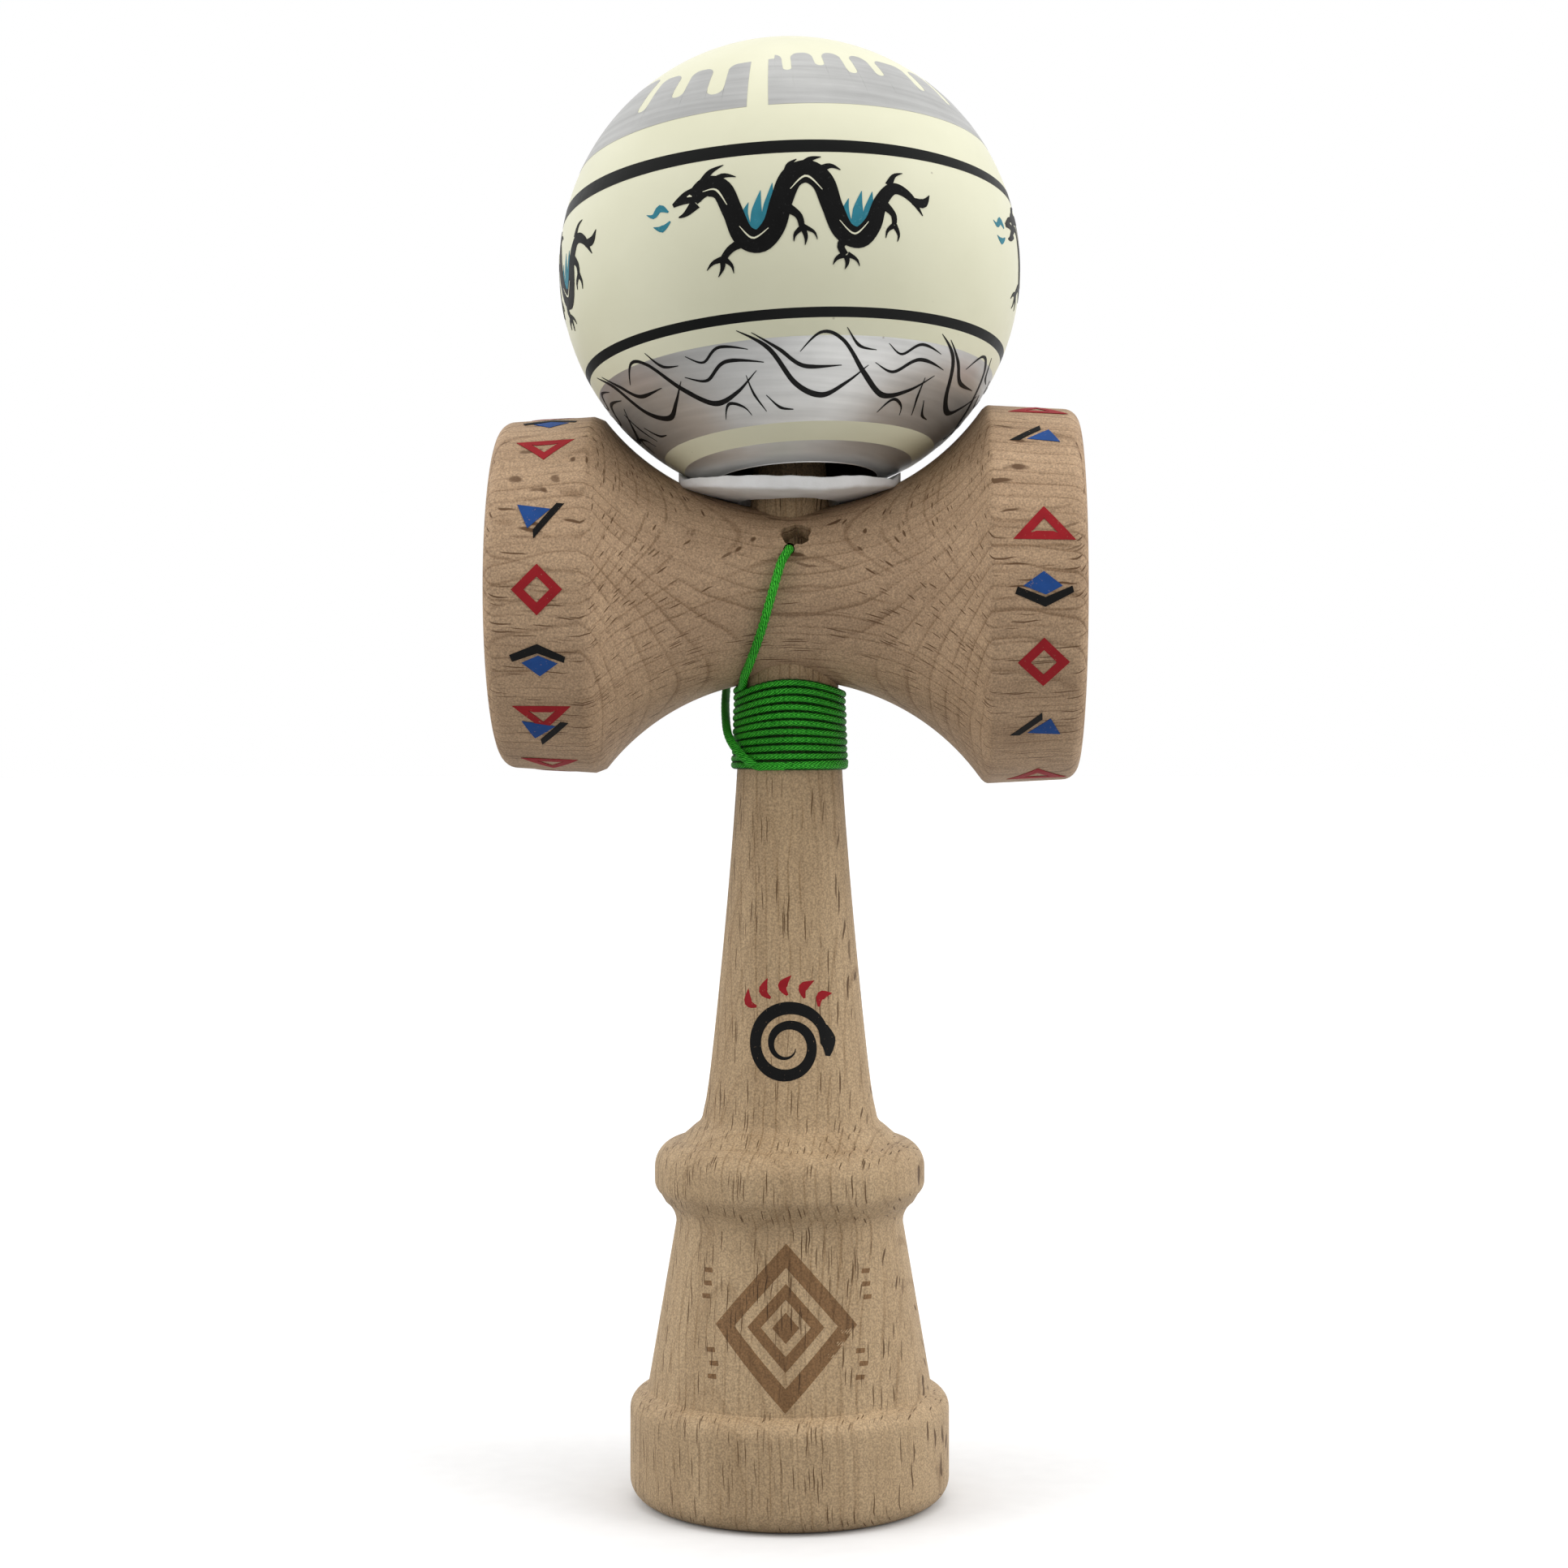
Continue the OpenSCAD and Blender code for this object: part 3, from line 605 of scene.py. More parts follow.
cream_paint = painted("cream_paint", (0.74, 0.73, 0.55), (0.69, 0.68, 0.50), 0.38)
silver_paint = painted("silver_paint", (0.60, 0.60, 0.585), (0.50, 0.50, 0.49), 0.42, 0.75, 0.12,
                       0.5)
black_paint = painted("black_paint", (0.009, 0.010, 0.009), (0.005, 0.005, 0.005), 0.4, shine=0.12)
# Painted shade: the inside of the bore gets near-black wood, standing in for the shade in the hole.
bore_painted_shade = beech("bore_painted_shade", (0, 0, 0), (0, 0, 0), (0.030, 0.020, 0.013), (0.018, 0.012, 0.008),
                  (0.008, 0.005, 0.003), 0.3)
for paint in (cream_paint, silver_paint, black_paint, bore_painted_shade):
    tama.data.materials.append(paint)
slots = {"cream": 0, "silver": 1, "black": 2}
for face in tama.data.polygons:
    middle = face.center * 1000
    if middle.length < ball_r - 0.25:
        face.material_index = 3
        continue
    for low, high, paint in bands:
        if low <= middle.z < high:
            face.material_index = slots[paint]
for vertex in tama.data.vertices:
    if vertex.co.z < -0.0255:
        vertex.co.x -= 0.0008 * min((-0.0255 - vertex.co.z) / 0.002, 1)
tama.data.transform(ball_place)
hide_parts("tama")
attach(tama, "ball")

# --- Silver cap with drips ----------------------------------------------------------------
# A second coat of silver round the crown, sprayed through a mask whose upper edge looks like
# running paint. The mask's seam leaves a bar of cream.
drips_out = 0.03


def on_ball_skin(azimuth, height, out):
    """A point on the painted surface, from azimuth in degrees (0 in front) and height in mm."""
    r = math.sqrt(max(ball_r ** 2 - height * height, 0.01)) / ball_r * (ball_r + out)
    a = math.radians(azimuth)
    return ball_place @ (Vector((r * math.sin(a), -r * math.cos(a),
                                 height * (ball_r + out) / ball_r)) / 1000)


def film(rows):
    """Closed thin sheet of ink from rows of (top point, bottom point) pairs of equal length."""
    verts, faces = [], []
    wide = len(rows[0])
    for row in rows:
        verts += [top for top, under in row]
    first = len(verts)
    for row in rows:
        verts += [under for top, under in row]
    count = len(rows)
    for i in range(count - 1):
        n = i + 1
        for k in range(wide - 1):
            a, b, c, d = i * wide + k, i * wide + k + 1, n * wide + k + 1, n * wide + k
            faces.append((a, d, c, b))
            faces.append((first + a, first + b, first + c, first + d))
        for k, flip in ((0, False), (wide - 1, True)):
            a, d = i * wide + k, n * wide + k
            side = (a, first + a, first + d, d)
            faces.append(tuple(reversed(side)) if flip else side)
    for i, flip in ((0, True), (count - 1, False)):
        for k in range(wide - 1):
            a, b = i * wide + k, i * wide + k + 1
            side = (a, first + a, first + b, b)
            faces.append(tuple(reversed(side)) if flip else side)
    return verts, faces


def ink_piece(name, sheets, material, body):
    """All the strokes of one colour as one piece, its faces turned outward."""
    verts, faces = [], []
    for more, sides in sheets:
        faces += [tuple(len(verts) + i for i in side) for side in sides]
        verts += more
    mesh = bpy.data.meshes.new(name)
    mesh.from_pydata(verts, [], faces)
    piece = bpy.data.objects.new(name, mesh)
    scene.collection.objects.link(piece)
    work = bmesh.new()
    work.from_mesh(mesh)
    bmesh.ops.recalc_face_normals(work, faces=work.faces)
    work.to_mesh(mesh)
    work.free()
    mesh.materials.append(material)
    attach(piece, body)
    return piece


# Runs of cream between the humps: azimuth, height of the rounded tip, half width in mm.
runs = [(-43, 16.2, 0.7), (-30, 16.7, 0.8), (-17.4, 15.8, 0.95), (3.8, 18.7, 0.55),
        (14.4, 19.5, 0.6), (24.3, 18.4, 0.6), (34, 18.6, 0.6), (49, 17.6, 0.6)]
dice = random.Random(7)
place = 61.0
while place < 305:
    runs.append((place, dice.uniform(15.8, 19.4), dice.uniform(0.55, 0.95)))
    place += dice.uniform(9.5, 14.0)


def drip_edge(azimuth):
    """Upper edge of the silver: rounded humps with narrow runs of cream between them."""
    top = 21.8 + 0.35 * math.sin(math.radians(azimuth * 5)) - (0.8 if azimuth % 360 > 318 else 0)
    height = top
    for middle, tip, half in runs:
        off = abs((azimuth - middle + 180) % 360 - 180) * math.radians(1) * 21
        if off < half:
            return min(height, tip + half - math.sqrt(half ** 2 - off ** 2))
        if off < half + 1.1:
            height = min(height, top - 1.1 + math.sqrt(1.21 - (half + 1.1 - off) ** 2))
    return height


rows = []
seam = (-7.7, -2.0)
for i in range(0, 1981):
    azimuth = seam[1] + (360 + seam[0] - seam[1]) * i / 1980
    low, high = 13.1, drip_edge(azimuth)
    row = []
    for k in range(9):
        h = low + (high - low) * k / 8
        row.append((on_ball_skin(azimuth, h, drips_out), on_ball_skin(azimuth, h, -0.03)))
    rows.append(row)
ink_piece("silver_crown", [film(rows)], silver_paint, "ball")

# The upper black line was painted by hand and is uneven in width.
rows = []
for i in range(361):
    turn = math.sin(math.radians(i))
    low, high = 6.1 - 0.26 * turn, 7.8 - 0.55 * turn + 0.05 * math.sin(math.radians(5 * i))
    rows.append([(on_ball_skin(i, low + (high - low) * k / 3, 0.02),
                  on_ball_skin(i, low + (high - low) * k / 3, -0.03)) for k in range(4)])
ink_piece("upper_line", [film(rows)], black_paint, "ball")

# --- Printed serpents on the ball ---------------------------------------------------------
# Four like prints round the wide cream band: a plain wavy black serpent of brush strokes with
# small blue-green fins. Thin ink over the paint.


def stroke(points, widths, place, out, across=4, step=0.35):
    """One tapered brush stroke. place turns (right, up) in millimetres into a surface point."""
    line = evened([(x, y, 0) for x, y in points], step)
    total = len(line) - 1
    rows = []
    for i, p in enumerate(line):
        ahead = (line[min(i + 1, total)] - line[max(i - 1, 0)]).normalized()
        side = Vector((-ahead.y, ahead.x, 0))
        at = i / total * (len(widths) - 1)
        k = min(int(at), len(widths) - 2)
        width = widths[k] + (widths[k + 1] - widths[k]) * (at - k)
        row = []
        for n in range(across + 1):
            q = p + side * (width * (0.5 - n / across))
            row.append((place(q.x, q.y, out), place(q.x, q.y, -0.03)))
        rows.append(row)
    return film(rows)


serpent_body = [(-12.0, 0.9), (-10.2, 2.2), (-8.2, 1.5), (-7.0, -1.3), (-5.8, -4.4), (-3.8, -5.3),
                (-2.0, -3.6), (-0.9, -0.5), (0.4, 2.2), (2.4, 3.0), (4.2, 1.6), (5.2, -1.5),
                (6.4, -4.4), (8.4, -5.2), (10.2, -3.5), (11.4, -0.7), (13.2, 1.1), (15.4, 0.3),
                (17.2, -1.9)]
serpent_widths = [1.9, 2.7, 2.6, 2.5, 2.7, 2.9, 2.8, 2.7, 2.8, 3.0, 2.8, 2.6, 2.7, 2.6, 2.2, 1.8,
                  1.5, 1.0, 0.1]
claw, small_claw, thin_claw = [0.8, 0.5, 0.06], [0.7, 0.5, 0.06], [0.7, 0.4, 0.06]
spine, thin_spine, leg = [1.2, 0.7, 0.08], [1.1, 0.7, 0.08], [1.6, 1.0, 0.8]
serpent_black = [
    (serpent_body, serpent_widths),
    ([(-11.0, 1.5), (-13.0, 1.2), (-15.0, 0.4)], [2.2, 1.6, 0.5]),
    ([(-11.6, 0.3), (-13.0, -0.8), (-14.2, -1.1)], [1.5, 0.9, 0.15]),
    ([(-10.8, 2.5), (-9.6, 4.0), (-7.6, 4.8)], thin_spine),
    ([(-9.6, 2.5), (-7.9, 3.3), (-6.2, 2.9)], thin_spine),
    ([(0.0, 2.7), (0.2, 3.9), (1.2, 4.7)], spine),
    ([(1.8, 3.6), (2.8, 4.6), (4.2, 4.9)], spine),
    ([(3.6, 3.0), (5.2, 3.7), (6.6, 3.1)], thin_spine),
    ([(12.6, 1.5), (13.4, 2.8), (14.8, 3.3)], [1.0, 0.6, 0.08]),
    ([(-5.0, -4.9), (-7.4, -5.9), (-8.6, -7.2)], leg),
    ([(-8.5, -7.0), (-9.8, -7.3), (-10.8, -8.3)], claw),
    ([(-8.5, -7.1), (-8.6, -8.1), (-9.2, -9.1)], claw),
    ([(-8.2, -7.1), (-7.4, -7.9), (-7.2, -8.9)], thin_claw),
    ([(-0.8, -1.2), (1.0, -2.5), (1.4, -4.2)], [1.4, 0.9, 0.7]),
    ([(1.4, -4.0), (0.5, -4.8), (0.3, -5.8)], small_claw),
    ([(1.5, -4.1), (1.8, -5.2), (1.6, -6.3)], small_claw),
    ([(1.5, -3.9), (2.8, -4.6), (3.2, -5.6)], thin_claw),
    ([(7.4, -5.0), (6.0, -6.2), (6.6, -7.5)], leg),
    ([(6.5, -7.3), (5.4, -7.8), (4.8, -8.8)], claw),
    ([(6.6, -7.4), (6.7, -8.3), (6.3, -9.2)], claw),
    ([(6.8, -7.3), (7.9, -7.9), (8.3, -8.9)], thin_claw),
    ([(11.6, -0.9), (13.0, -2.2), (13.0, -3.7)], [1.3, 0.8, 0.6]),
    ([(13.0, -3.5), (12.1, -4.2), (11.8, -5.2)], thin_claw),
    ([(13.1, -3.5), (13.6, -4.6), (13.3, -5.6)], thin_claw),
    ([(15.8, -0.2), (17.4, -0.3), (18.4, 0.9)], [0.9, 1.2, 0.06])]
serpent_blue = [
    ([(-5.4, -3.9), (-5.5, -2.0), (-4.9, -0.4)], [1.5, 1.0, 0.06]),
    ([(-4.1, -4.3), (-4.0, -1.7), (-3.4, 0.9)], [1.8, 1.3, 0.06]),
    ([(-2.9, -3.8), (-2.5, -1.2), (-1.9, 1.9)], [1.8, 1.3, 0.06]),
    ([(6.9, -3.9), (6.8, -2.1), (7.3, -0.4)], [1.5, 1.0, 0.06]),
    ([(8.2, -4.3), (8.4, -1.8), (9.0, 0.6)], [1.8, 1.3, 0.06]),
    ([(9.4, -3.6), (9.9, -1.4), (10.4, 0.8)], [1.7, 1.2, 0.06]),
    ([(-15.4, -0.1), (-16.6, 0.6), (-17.6, -0.2), (-18.8, 0.3)], [0.2, 1.0, 0.7, 0.05]),
    ([(-15.2, -1.3), (-16.4, -2.0), (-17.8, -1.5)], [0.2, 0.9, 0.05])]
serpent_light = [
    ([(-10.6, 1.6), (-8.9, 1.6), (-7.6, -0.5)], [0.08, 0.26, 0.08]),
    ([(-6.2, -3.3), (-4.6, -4.9), (-2.6, -3.8)], [0.08, 0.24, 0.08]),
    ([(0.2, 0.8), (2.2, 2.4), (4.1, 0.6)], [0.08, 0.26, 0.08]),
    ([(6.0, -3.2), (7.8, -4.8), (9.8, -3.1)], [0.08, 0.22, 0.08]),
    ([(-12.7, 1.3), (-12.3, 1.4), (-12.0, 1.2)], [0.1, 0.3, 0.1])]


def round_ball(turn):
    """Placing of a print whose middle is that many degrees round from the front."""
    def place(x, y, out):
        up = (y + 0.5) / ball_r
        return on_ball_skin(turn + math.degrees(x / ball_r / math.cos(up)),
                            ball_r * math.sin(up), out)
    return place


black_sheets, blue_sheets, light_sheets = [], [], []
for turn in (2, 96.5, 184.5, -86.6):
    place = round_ball(turn)
    for n, (points, widths) in enumerate(serpent_black):
        black_sheets.append(stroke(points, widths, place, 0.05 + 0.0008 * n))
    for n, (points, widths) in enumerate(serpent_blue):
        blue_sheets.append(stroke(points, widths, place, 0.03 + 0.0008 * n))
    for points, widths in serpent_light:
        light_sheets.append(stroke(points, widths, place, 0.085, across=2))


def inked(name, colour, worn, roughness, pits):
    """Printed ink: uneven in tone, and worn through to lighter specks where it lies on wood."""
    material, tree, skin, where = shader_of(name)
    cloud = noisy(tree, where.outputs["Object"], 500.0, 4.0)
    grit = noisy(tree, where.outputs["Object"], 3500.0, 2.0)
    rub = shades(tree, grit.outputs["Fac"], [(0.64 - pits, (0.0,)), (0.78 - pits / 2, (1.0,))])
    dim = tuple(c * 0.8 for c in colour)
    tint = shades(tree, cloud.outputs["Fac"], [(0.3, dim), (0.7, colour)])
    mixed = blended(tree, rub, tint, (*worn, 1))
    tree.links.new(mixed, skin.inputs["Base Color"])
    rough = put(tree, "MapRange", [("Value", cloud.outputs["Fac"]), ("To Min", roughness - 0.1),
                                   ("To Max", roughness + 0.1)])
    tree.links.new(rough.outputs[0], skin.inputs["Roughness"])
    embossed(tree, skin, grit.outputs["Fac"], 0.1, 0.00004)
    skin.inputs["Specular IOR Level"].default_value = 0.12
    return material


ball_black = inked("ball_black_ink", (0.007, 0.007, 0.007), (0.03, 0.03, 0.03), 0.45, 0.0)
ball_blue = inked("ball_blue_ink", (0.035, 0.22, 0.29), (0.10, 0.30, 0.34), 0.45, 0.0)
ink_piece("serpents_black", black_sheets, ball_black, "ball")
ink_piece("serpents_blue", blue_sheets, ball_blue, "ball")
ink_piece("serpents_light", light_sheets, cream_paint, "ball")

# --- Wave lines on the silver -------------------------------------------------------------
# Thin tapered black lines that cross and flow round the lower silver band, by hand on a mask.
wave_lines = [
    ([(0, -14.6), (8, -16.8), (15, -20.6), (24, -21.9), (32, -20.6), (38, -18.8)],
     [0.1, 0.7, 0.85, 0.8, 0.55, 0.1]),
    ([(4, -15.0), (11, -17.0), (18, -18.9), (30, -18.9)], [0.1, 0.6, 0.6, 0.1]),
    ([(17, -17.4), (23, -15.4), (29, -16.2), (37, -19.6), (46, -21.7), (56, -20.9), (64, -18.9)],
     [0.1, 0.5, 0.6, 0.85, 0.75, 0.5, 0.1]),
    ([(30, -14.9), (34, -16.8), (40, -17.2)], [0.1, 0.5, 0.1]),
    ([(43, -16.4), (48, -17.4), (54, -16.1), (63, -16.8)], [0.1, 0.4, 0.45, 0.1]),
    ([(40, -18.5), (47, -19.3), (55, -17.7), (67, -18.3)], [0.1, 0.5, 0.55, 0.1]),
    ([(47, -23.4), (51, -22.0), (56, -22.5), (58, -23.5)], [0.1, 0.4, 0.4, 0.1]),
    ([(60, -19.4), (61, -21.4), (64, -23.3)], [0.1, 0.45, 0.1]),
    ([(5, -21.6), (9, -22.9), (14, -23.2)], [0.1, 0.4, 0.1])]
wave_sheets = []


def round_silver(turn):
    """Placing of a wave line: right is measured on the circle of 24 mm radius, up is height."""
    def place(x, y, out):
        return on_ball_skin(turn + math.degrees(x / 24), y, out)
    return place


for turn in range(-14, 346, 60):
    for n, (points, widths) in enumerate(wave_lines):
        wave_sheets.append(stroke([(math.radians(x) * 24, y) for x, y in points],
                                  [w * 0.72 for w in widths], round_silver(turn),
                                  0.035 + 0.0015 * n, across=2))
ink_piece("wave_lines", wave_sheets, ball_black, "ball")

# --- Foam washer --------------------------------------------------------------------------
# A soft ring of white closed-cell foam round the spike, squeezed between the ball's lip and
# the waist and bent up by the two flanks. Punched from sheet, a little crumpled by use.
washer_outline = ([(6.45, 0.9), (6.45, 0.3)] + arc((6.75, 0.3), 0.3, 180, 270, 3)
                  + [(8.5, 0), (10.5, 0), (12.5, 0)] + arc((14.1, 0.4), 0.4, -90, 0, 4)
                  + arc((14.1, 1.4), 0.4, 0, 90, 4) + [(12.5, 1.8), (10.5, 1.8), (8.5, 1.8)]
                  + arc((6.75, 1.5), 0.3, 90, 180, 3) + [(6.45, 0.9)])
washer = turned_piece("washer_foam", washer_outline, steps=144)
axis_back = (ball_place.to_3x3() @ Vector((0, 0, 1))).normalized()
for vertex in washer.data.vertices:
    p = vertex.co * 1000
    low = p.z < 0.9
    bent = 129.3 + 41 - math.sqrt(41 ** 2 - p.x ** 2) - p.y * math.tan(math.radians(4))
    wrinkle = 0.22 * noise.noise(Vector((p.x / 5, p.y / 5, 3.1)))
    dent = 0.10 * noise.noise(Vector((p.x / 1.6, p.y / 1.6, p.z)))
    z = bent + p.z + wrinkle + dent
    z -= (0.0035 if low else 0.0070) * p.x ** 2
    deep = saddle(min(abs(p.x), 22)) ** 2 - p.y ** 2
    floor_z = sarado_z + (math.sqrt(deep) if deep > 0 else 0) + 0.08
    z = max(z, floor_z + (0 if low else 1.15))
    above = Vector((p.x, p.y, z)) - ball_centre * 1000
    aside = above - axis_back * above.dot(axis_back)
    if aside.length > 10.2:
        span = 30.12 ** 2 - p.x ** 2 - p.y ** 2
        z = min(z, ball_centre.z * 1000 - math.sqrt(span))
    vertex.co = Vector((p.x, p.y, z)) / 1000
white_foam, tree, skin, where = shader_of("white_foam")
cells = put(tree, "TexVoronoi", [("Vector", where.outputs["Object"]), ("Scale", 3800.0)])
soil = noisy(tree, where.outputs["Object"], 260.0, 4.0)
tone = shades(tree, soil.outputs["Fac"], [(0.3, (0.70, 0.695, 0.68)), (0.65, (0.80, 0.80, 0.80))])
tree.links.new(tone, skin.inputs["Base Color"])
skin.inputs["Roughness"].default_value = 0.85
both = calc(tree, "MULTIPLY_ADD", cells.outputs["Distance"], 0.35, soil.outputs["Fac"])
embossed(tree, skin, both, 0.35, 0.0002)
washer.data.materials.append(white_foam)
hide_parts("washer")
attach(washer, "handle")

# --- Bead ---------------------------------------------------------------------------------
# A small turned wooden bead inside the ball, on the string. It keeps its CAD shape.
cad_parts["bead"].data.materials.clear()
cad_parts["bead"].data.materials.append(upright_beech)

# --- Printed marks round the cups ---------------------------------------------------------
# Small triangles, lozenges, chevrons and bars in red, blue and black, printed round the band
# of each cup. The print of the small cup overlaps itself at its seam.
crests = {-1: (23.25, 25.33, 22.6, 37.53), 1: (24.6, 25.83, 24.1, 37.43)}


def on_cup_band(side, middle, turn):
    """Placing of a mark: middle is its distance from the handle, turn its angle over the front."""
    crest_r, crest_x, rim_r, rim_x = crests[side]

    def place(x, y, out):
        across = middle + side * x
        r = crest_r + (rim_r - crest_r) * (across - crest_x) / (rim_x - crest_x)
        a = math.radians(turn) + y / r
        r += out
        return Vector((side * across, -r * math.cos(a), sarado_z + r * math.sin(a))) / 1000
    return place


def patch(corners, place, out, cuts=7):
    """A four-cornered patch of ink that follows the surface."""
    a, b, c, d = [Vector(p) for p in corners]
    rows = []
    for i in range(cuts + 1):
        left, right = a.lerp(d, i / cuts), b.lerp(c, i / cuts)
        row = []
        for k in range(cuts + 1):
            q = left.lerp(right, k / cuts)
            row.append((place(q.x, q.y, out), place(q.x, q.y, -0.03)))
        rows.append(row)
    return film(rows)


def outlined(corners, line):
    """The sides of a polygon as patches, mitred at its corners."""
    middle = sum((Vector(p) for p in corners), Vector((0, 0))) / len(corners)
    sides = []
    for i in range(len(corners)):
        a, b = Vector(corners[i]), Vector(corners[(i + 1) % len(corners)])
        edge = (b - a).normalized()
        reach = abs((middle - a).x * edge.y - (middle - a).y * edge.x)
        keep = 1 - line / reach
        sides.append((a, b, middle + (b - middle) * keep, middle + (a - middle) * keep))
    return sides


def three(a, b, c):
    """A triangle as a patch with one very short side."""
    near = Vector(c).lerp(Vector(b), 0.02)
    return (a, b, near, c)


lozenge = [("red", s) for s in outlined([(-3.2, 0), (0, 3.2), (3.2, 0), (0, -3.2)], 1.12)]
point_down = [("red", s) for s in outlined([(-3.7, 1.7), (3.7, 2.0), (0.1, -2.3)], 0.98)]
point_up = [("red", s) for s in outlined([(-3.8, -1.8), (0, 2.6), (3.9, -1.8)], 1.08)]
blue_left = [("blue", three((-2.7, 2.2), (1.5, 1.5), (-1.3, -1.1))),
             ("black", ((3.2, 2.2), (2.2, 2.3), (-0.6, -1.3), (-0.5, -2.5)))]
blue_right = [("black", ((-3.9, -1.9), (0, 1.9), (0.1, 0.8), (-2.7, -1.9))),
              ("blue", three((-1.7, -1.5), (1.1, 0.9), (2.4, -1.9)))]
roof = [("black", ((-3.6, 0.5), (-0.1, 2.0), (-0.1, 0.8), (-3.3, -0.4))),
        ("black", ((-0.1, 2.0), (3.4, 0.4), (3.2, -0.4), (-0.1, 0.8))),
        ("blue", ((-2.1, -0.5), (0, 0.5), (2.4, -0.5), (0.1, -2.3)))]
vee = [("black", ((-3.3, 0.2), (0.1, -1.1), (0.1, -2.3), (-3.6, -0.7))),
       ("black", ((0.1, -1.1), (3.4, 0.3), (3.6, -0.5), (0.1, -2.3))),
       ("blue", ((-2.6, 0.3), (-0.1, 2.1), (2.2, 0.3), (0.15, -0.8)))]
small_cup_marks = [(-73, point_down), (-51.9, blue_left), (-44.3, point_down), (-22.8, roof),
                   (-0.8, lozenge), (21.4, blue_left), (51, point_down), (72, roof)]
small_cup_marks += [(88.5 + 22.1 * i, (lozenge, blue_left, point_down, roof)[i % 4])
                    for i in range(9)]
big_cup_marks = [(-74, point_up), (-44, blue_right), (-22.6, lozenge), (-0.7, vee),
                 (17.8, point_up), (54, blue_right), (74, point_up)]
big_cup_marks += [(98 + 22.6 * i, (vee, lozenge, blue_right, point_up)[i % 4]) for i in range(8)]
printed = {"red": [], "blue": [], "black": []}
for side, middle, marks in ((-1, 30.55, small_cup_marks), (1, 31.9, big_cup_marks)):
    for turn, mark in marks:
        place = on_cup_band(side, middle, turn)
        for n, (colour, corners) in enumerate(mark):
            out = 0.025 + 0.003 * n + (0.02 if turn == -51.9 else 0)
            printed[colour].append(patch([(p[0], p[1]) for p in corners], place, out))
wood_tone = (0.36, 0.24, 0.15)
inks = {"red": inked("red_ink", (0.33, 0.016, 0.022), wood_tone, 0.6, -0.04),
        "blue": inked("blue_ink", (0.020, 0.075, 0.27), wood_tone, 0.6, -0.02),
        "black": inked("black_ink", (0.008, 0.008, 0.008), wood_tone, 0.6, -0.06)}
for colour, sheets in printed.items():
    ink_piece("cup_marks_" + colour, sheets, inks[colour], "handle")

# --- Print and burnt mark on the handle ---------------------------------------------------
# A plain black coil with five red flames over it is printed on the grip. Below it a plain
# lozenge emblem is burnt into the cone.


def on_grip(x, y, out):
    z = 61.8 + y
    r = handle_radius(z) + 0.32 * math.exp(-(z - 50) / 2.2) + out
    return Vector((r * math.sin(x / r), -r * math.cos(x / r), z)) / 1000


def round_coil(r, degrees):
    """A point of the grip print, from its distance and angle round the middle of the coil."""
    return (r * math.cos(math.radians(degrees)), r * math.sin(math.radians(degrees)) - 2.0)


coil_black = [
    ([round_coil(5.2 - 4.1 * k / 38, 20 + 18 * k) for k in range(39)],
     [1.3, 1.6, 1.6, 1.5, 1.3, 1.0, 0.1]),
    ([round_coil(5.2, 26), round_coil(5.5, 4), round_coil(5.6, -16)], [1.4, 2.4, 0.7])]
coil_red = [([round_coil(6.4, a), round_coil(7.6, a + 5), round_coil(9.1, a - 4)], [0.3, 1.3, 0.05])
            for a in (50, 70, 90, 110, 130)]
for colour, strokes, out, rise in (("black", coil_black, 0.03, 0.0008),
                                   ("red", coil_red, 0.02, 0.0006)):
    sheets = [stroke(p, w, on_grip, out + rise * n) for n, (p, w) in enumerate(strokes)]
    ink_piece("grip_print_" + colour, sheets, inks[colour], "handle")


def on_cone(x, y, out):
    z = 25.2 + y
    r = 18.5 - (z - 14.4) * 3.7 / 21.6 + out
    return Vector((r * math.sin(x / r), -r * math.cos(x / r), z)) / 1000


emblem = outlined([(0, 10.3), (9.4, 0), (0, -10.3), (-9.4, 0)], 2.0)
emblem += outlined([(0, 5.4), (4.9, 0), (0, -5.4), (-4.9, 0)], 1.3)
emblem.append([(0, 1.9), (1.7, 0), (0, -1.9), (-1.7, 0)])
dice = random.Random(4)
for side in (-1, 1):
    for row in range(9):
        x, y = side * (9.4 + dice.uniform(-0.6, 1.2)), -6.4 + 1.6 * row
        if abs(y) > 3:
            emblem.append([(x, y + 0.35), (x + 1.3 * side, y + 0.25), (x + 1.2 * side, y - 0.3),
                           (x - 0.1 * side, y - 0.25)])
burnt = beech("burnt_beech", *upright_lay, (0.235, 0.130, 0.058), (0.13, 0.068, 0.028),
              (0.05, 0.025, 0.010), 0.3)
ink_piece("burnt_emblem", [patch([(x, y) for x, y in corners], on_cone, 0.015)
                           for corners in emblem], burnt, "handle")

# --- Floor and light ----------------------------------------------------------------------
# A wide pale floor in a white tent that is dimmer in front, and a soft lamp at each side.
floor = turned_piece("floor", [(0, 0), (60, 0), (400, 0), (6000, 0)], steps=96)
floor.data.transform(Matrix.Translation((0, 0, -0.00002)))
bpy.ops.object.select_all(action="DESELECT")
pale, tree, skin, where = shader_of("pale_paper")
sheet_noise = put(tree, "TexNoise", [("Vector", where.outputs["Object"]), ("Scale", 300.0)])
tone = shades(tree, sheet_noise.outputs["Fac"],
              [(0.3, (0.90, 0.90, 0.90)), (0.7, (0.92, 0.92, 0.92))])
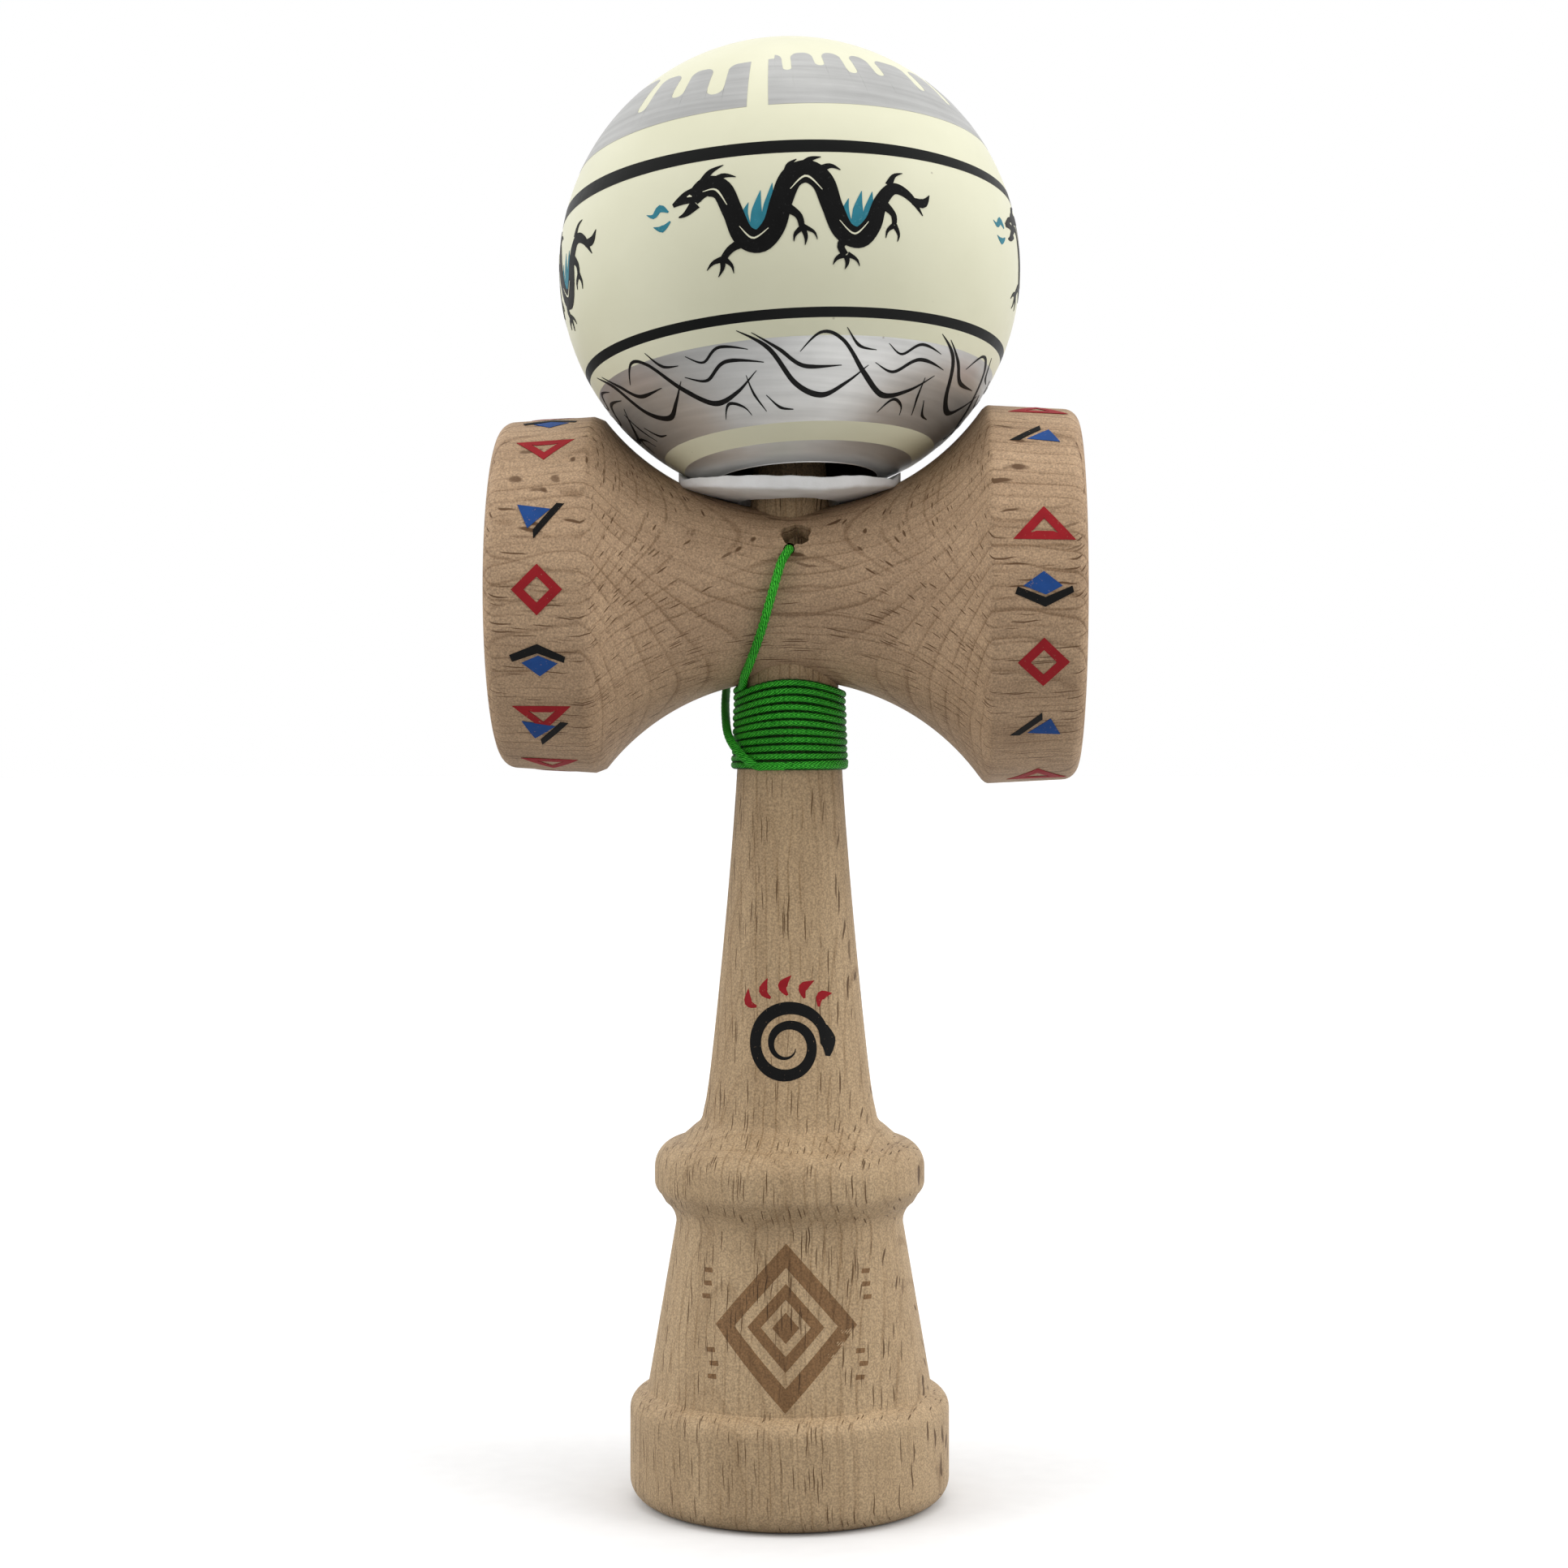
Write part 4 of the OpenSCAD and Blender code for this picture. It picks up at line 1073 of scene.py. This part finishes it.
# Painted shade: for bounce light the floor is a dark grey, and in reflections its left side is
# darker. This shades the undersides and the ball's lower left silver. To the camera the floor stays
# pale.
path = tree.nodes.new("ShaderNodeLightPath")
mirrored = calc(tree, "MAXIMUM", path.outputs["Is Camera Ray"], path.outputs["Is Glossy Ray"])
across = put(tree, "SeparateXYZ", [(0, where.outputs["Object"])])
left = put(tree, "MapRange", [("Value", across.outputs[0]), ("From Min", -0.16), ("From Max", 0.02),
                              ("To Min", 0.25), ("To Max", 1.0)])
left = calc(tree, "MAXIMUM", left.outputs[0], path.outputs["Is Camera Ray"])
tone = blended(tree, 1.0, tone, left, "MULTIPLY")
floor_shade_by_ray = blended(tree, mirrored, (0.38, 0.38, 0.38, 1), tone)
tree.links.new(floor_shade_by_ray, skin.inputs["Base Color"])
# Painted light: the floor glows more the farther it is from the middle, for camera rays only, so
# that it shows white far off.
reach = put(tree, "VectorMath", [(0, where.outputs["Object"])], operation="LENGTH")
far_floor_glow = put(tree, "MapRange", [("Value", reach.outputs["Value"]), ("From Min", 0.04),
                             ("From Max", 0.5), ("To Min", 0.0), ("To Max", 0.35)])
seen = calc(tree, "MULTIPLY", far_floor_glow.outputs[0], path.outputs["Is Camera Ray"])
tree.links.new(seen, skin.inputs["Emission Color"])
skin.inputs["Emission Strength"].default_value = 1.0
skin.inputs["Roughness"].default_value = 0.9
floor.data.materials.append(pale)


def lamp(name, location, target, width, height, power):
    data = bpy.data.lights.new(name, "AREA")
    data.shape, data.size, data.size_y, data.energy = "RECTANGLE", width, height, power
    piece = bpy.data.objects.new(name, data)
    piece.location = location
    piece.rotation_euler = (Vector(target) - Vector(location)).to_track_quat("-Z", "Y").to_euler()
    piece.visible_glossy = False
    scene.collection.objects.link(piece)


lamp("left_lamp", (-0.46, -0.20, 0.30), (0, 0, 0.11), 0.30, 0.5, 1.12)
lamp("right_lamp", (0.46, -0.18, 0.30), (0, 0, 0.11), 0.30, 0.5, 1.28)
lamp("top_lamp", (0.04, -0.08, 0.75), (0, 0, 0.15), 0.5, 0.5, 1.5)
world = bpy.data.worlds.new("studio")
world.use_nodes = True
tree = world.node_tree
way = tree.nodes.new("ShaderNodeTexCoord")
toward = put(tree, "SeparateXYZ", [(0, way.outputs["Generated"])])
front = put(tree, "MapRange", [("Value", toward.outputs[1]), ("From Min", -0.95),
                               ("From Max", -0.1), ("To Min", 0.32), ("To Max", 0.97)])
path = tree.nodes.new("ShaderNodeLightPath")
seen = put(tree, "Mix", [(0, path.outputs["Is Camera Ray"]), (2, front.outputs[0]), (3, 1.0)])
tree.nodes["Background"].inputs["Color"].default_value = (1, 1, 1, 1)
tree.links.new(seen.outputs[0], tree.nodes["Background"].inputs["Strength"])
scene.world = world
scene.view_settings.view_transform = "Standard"
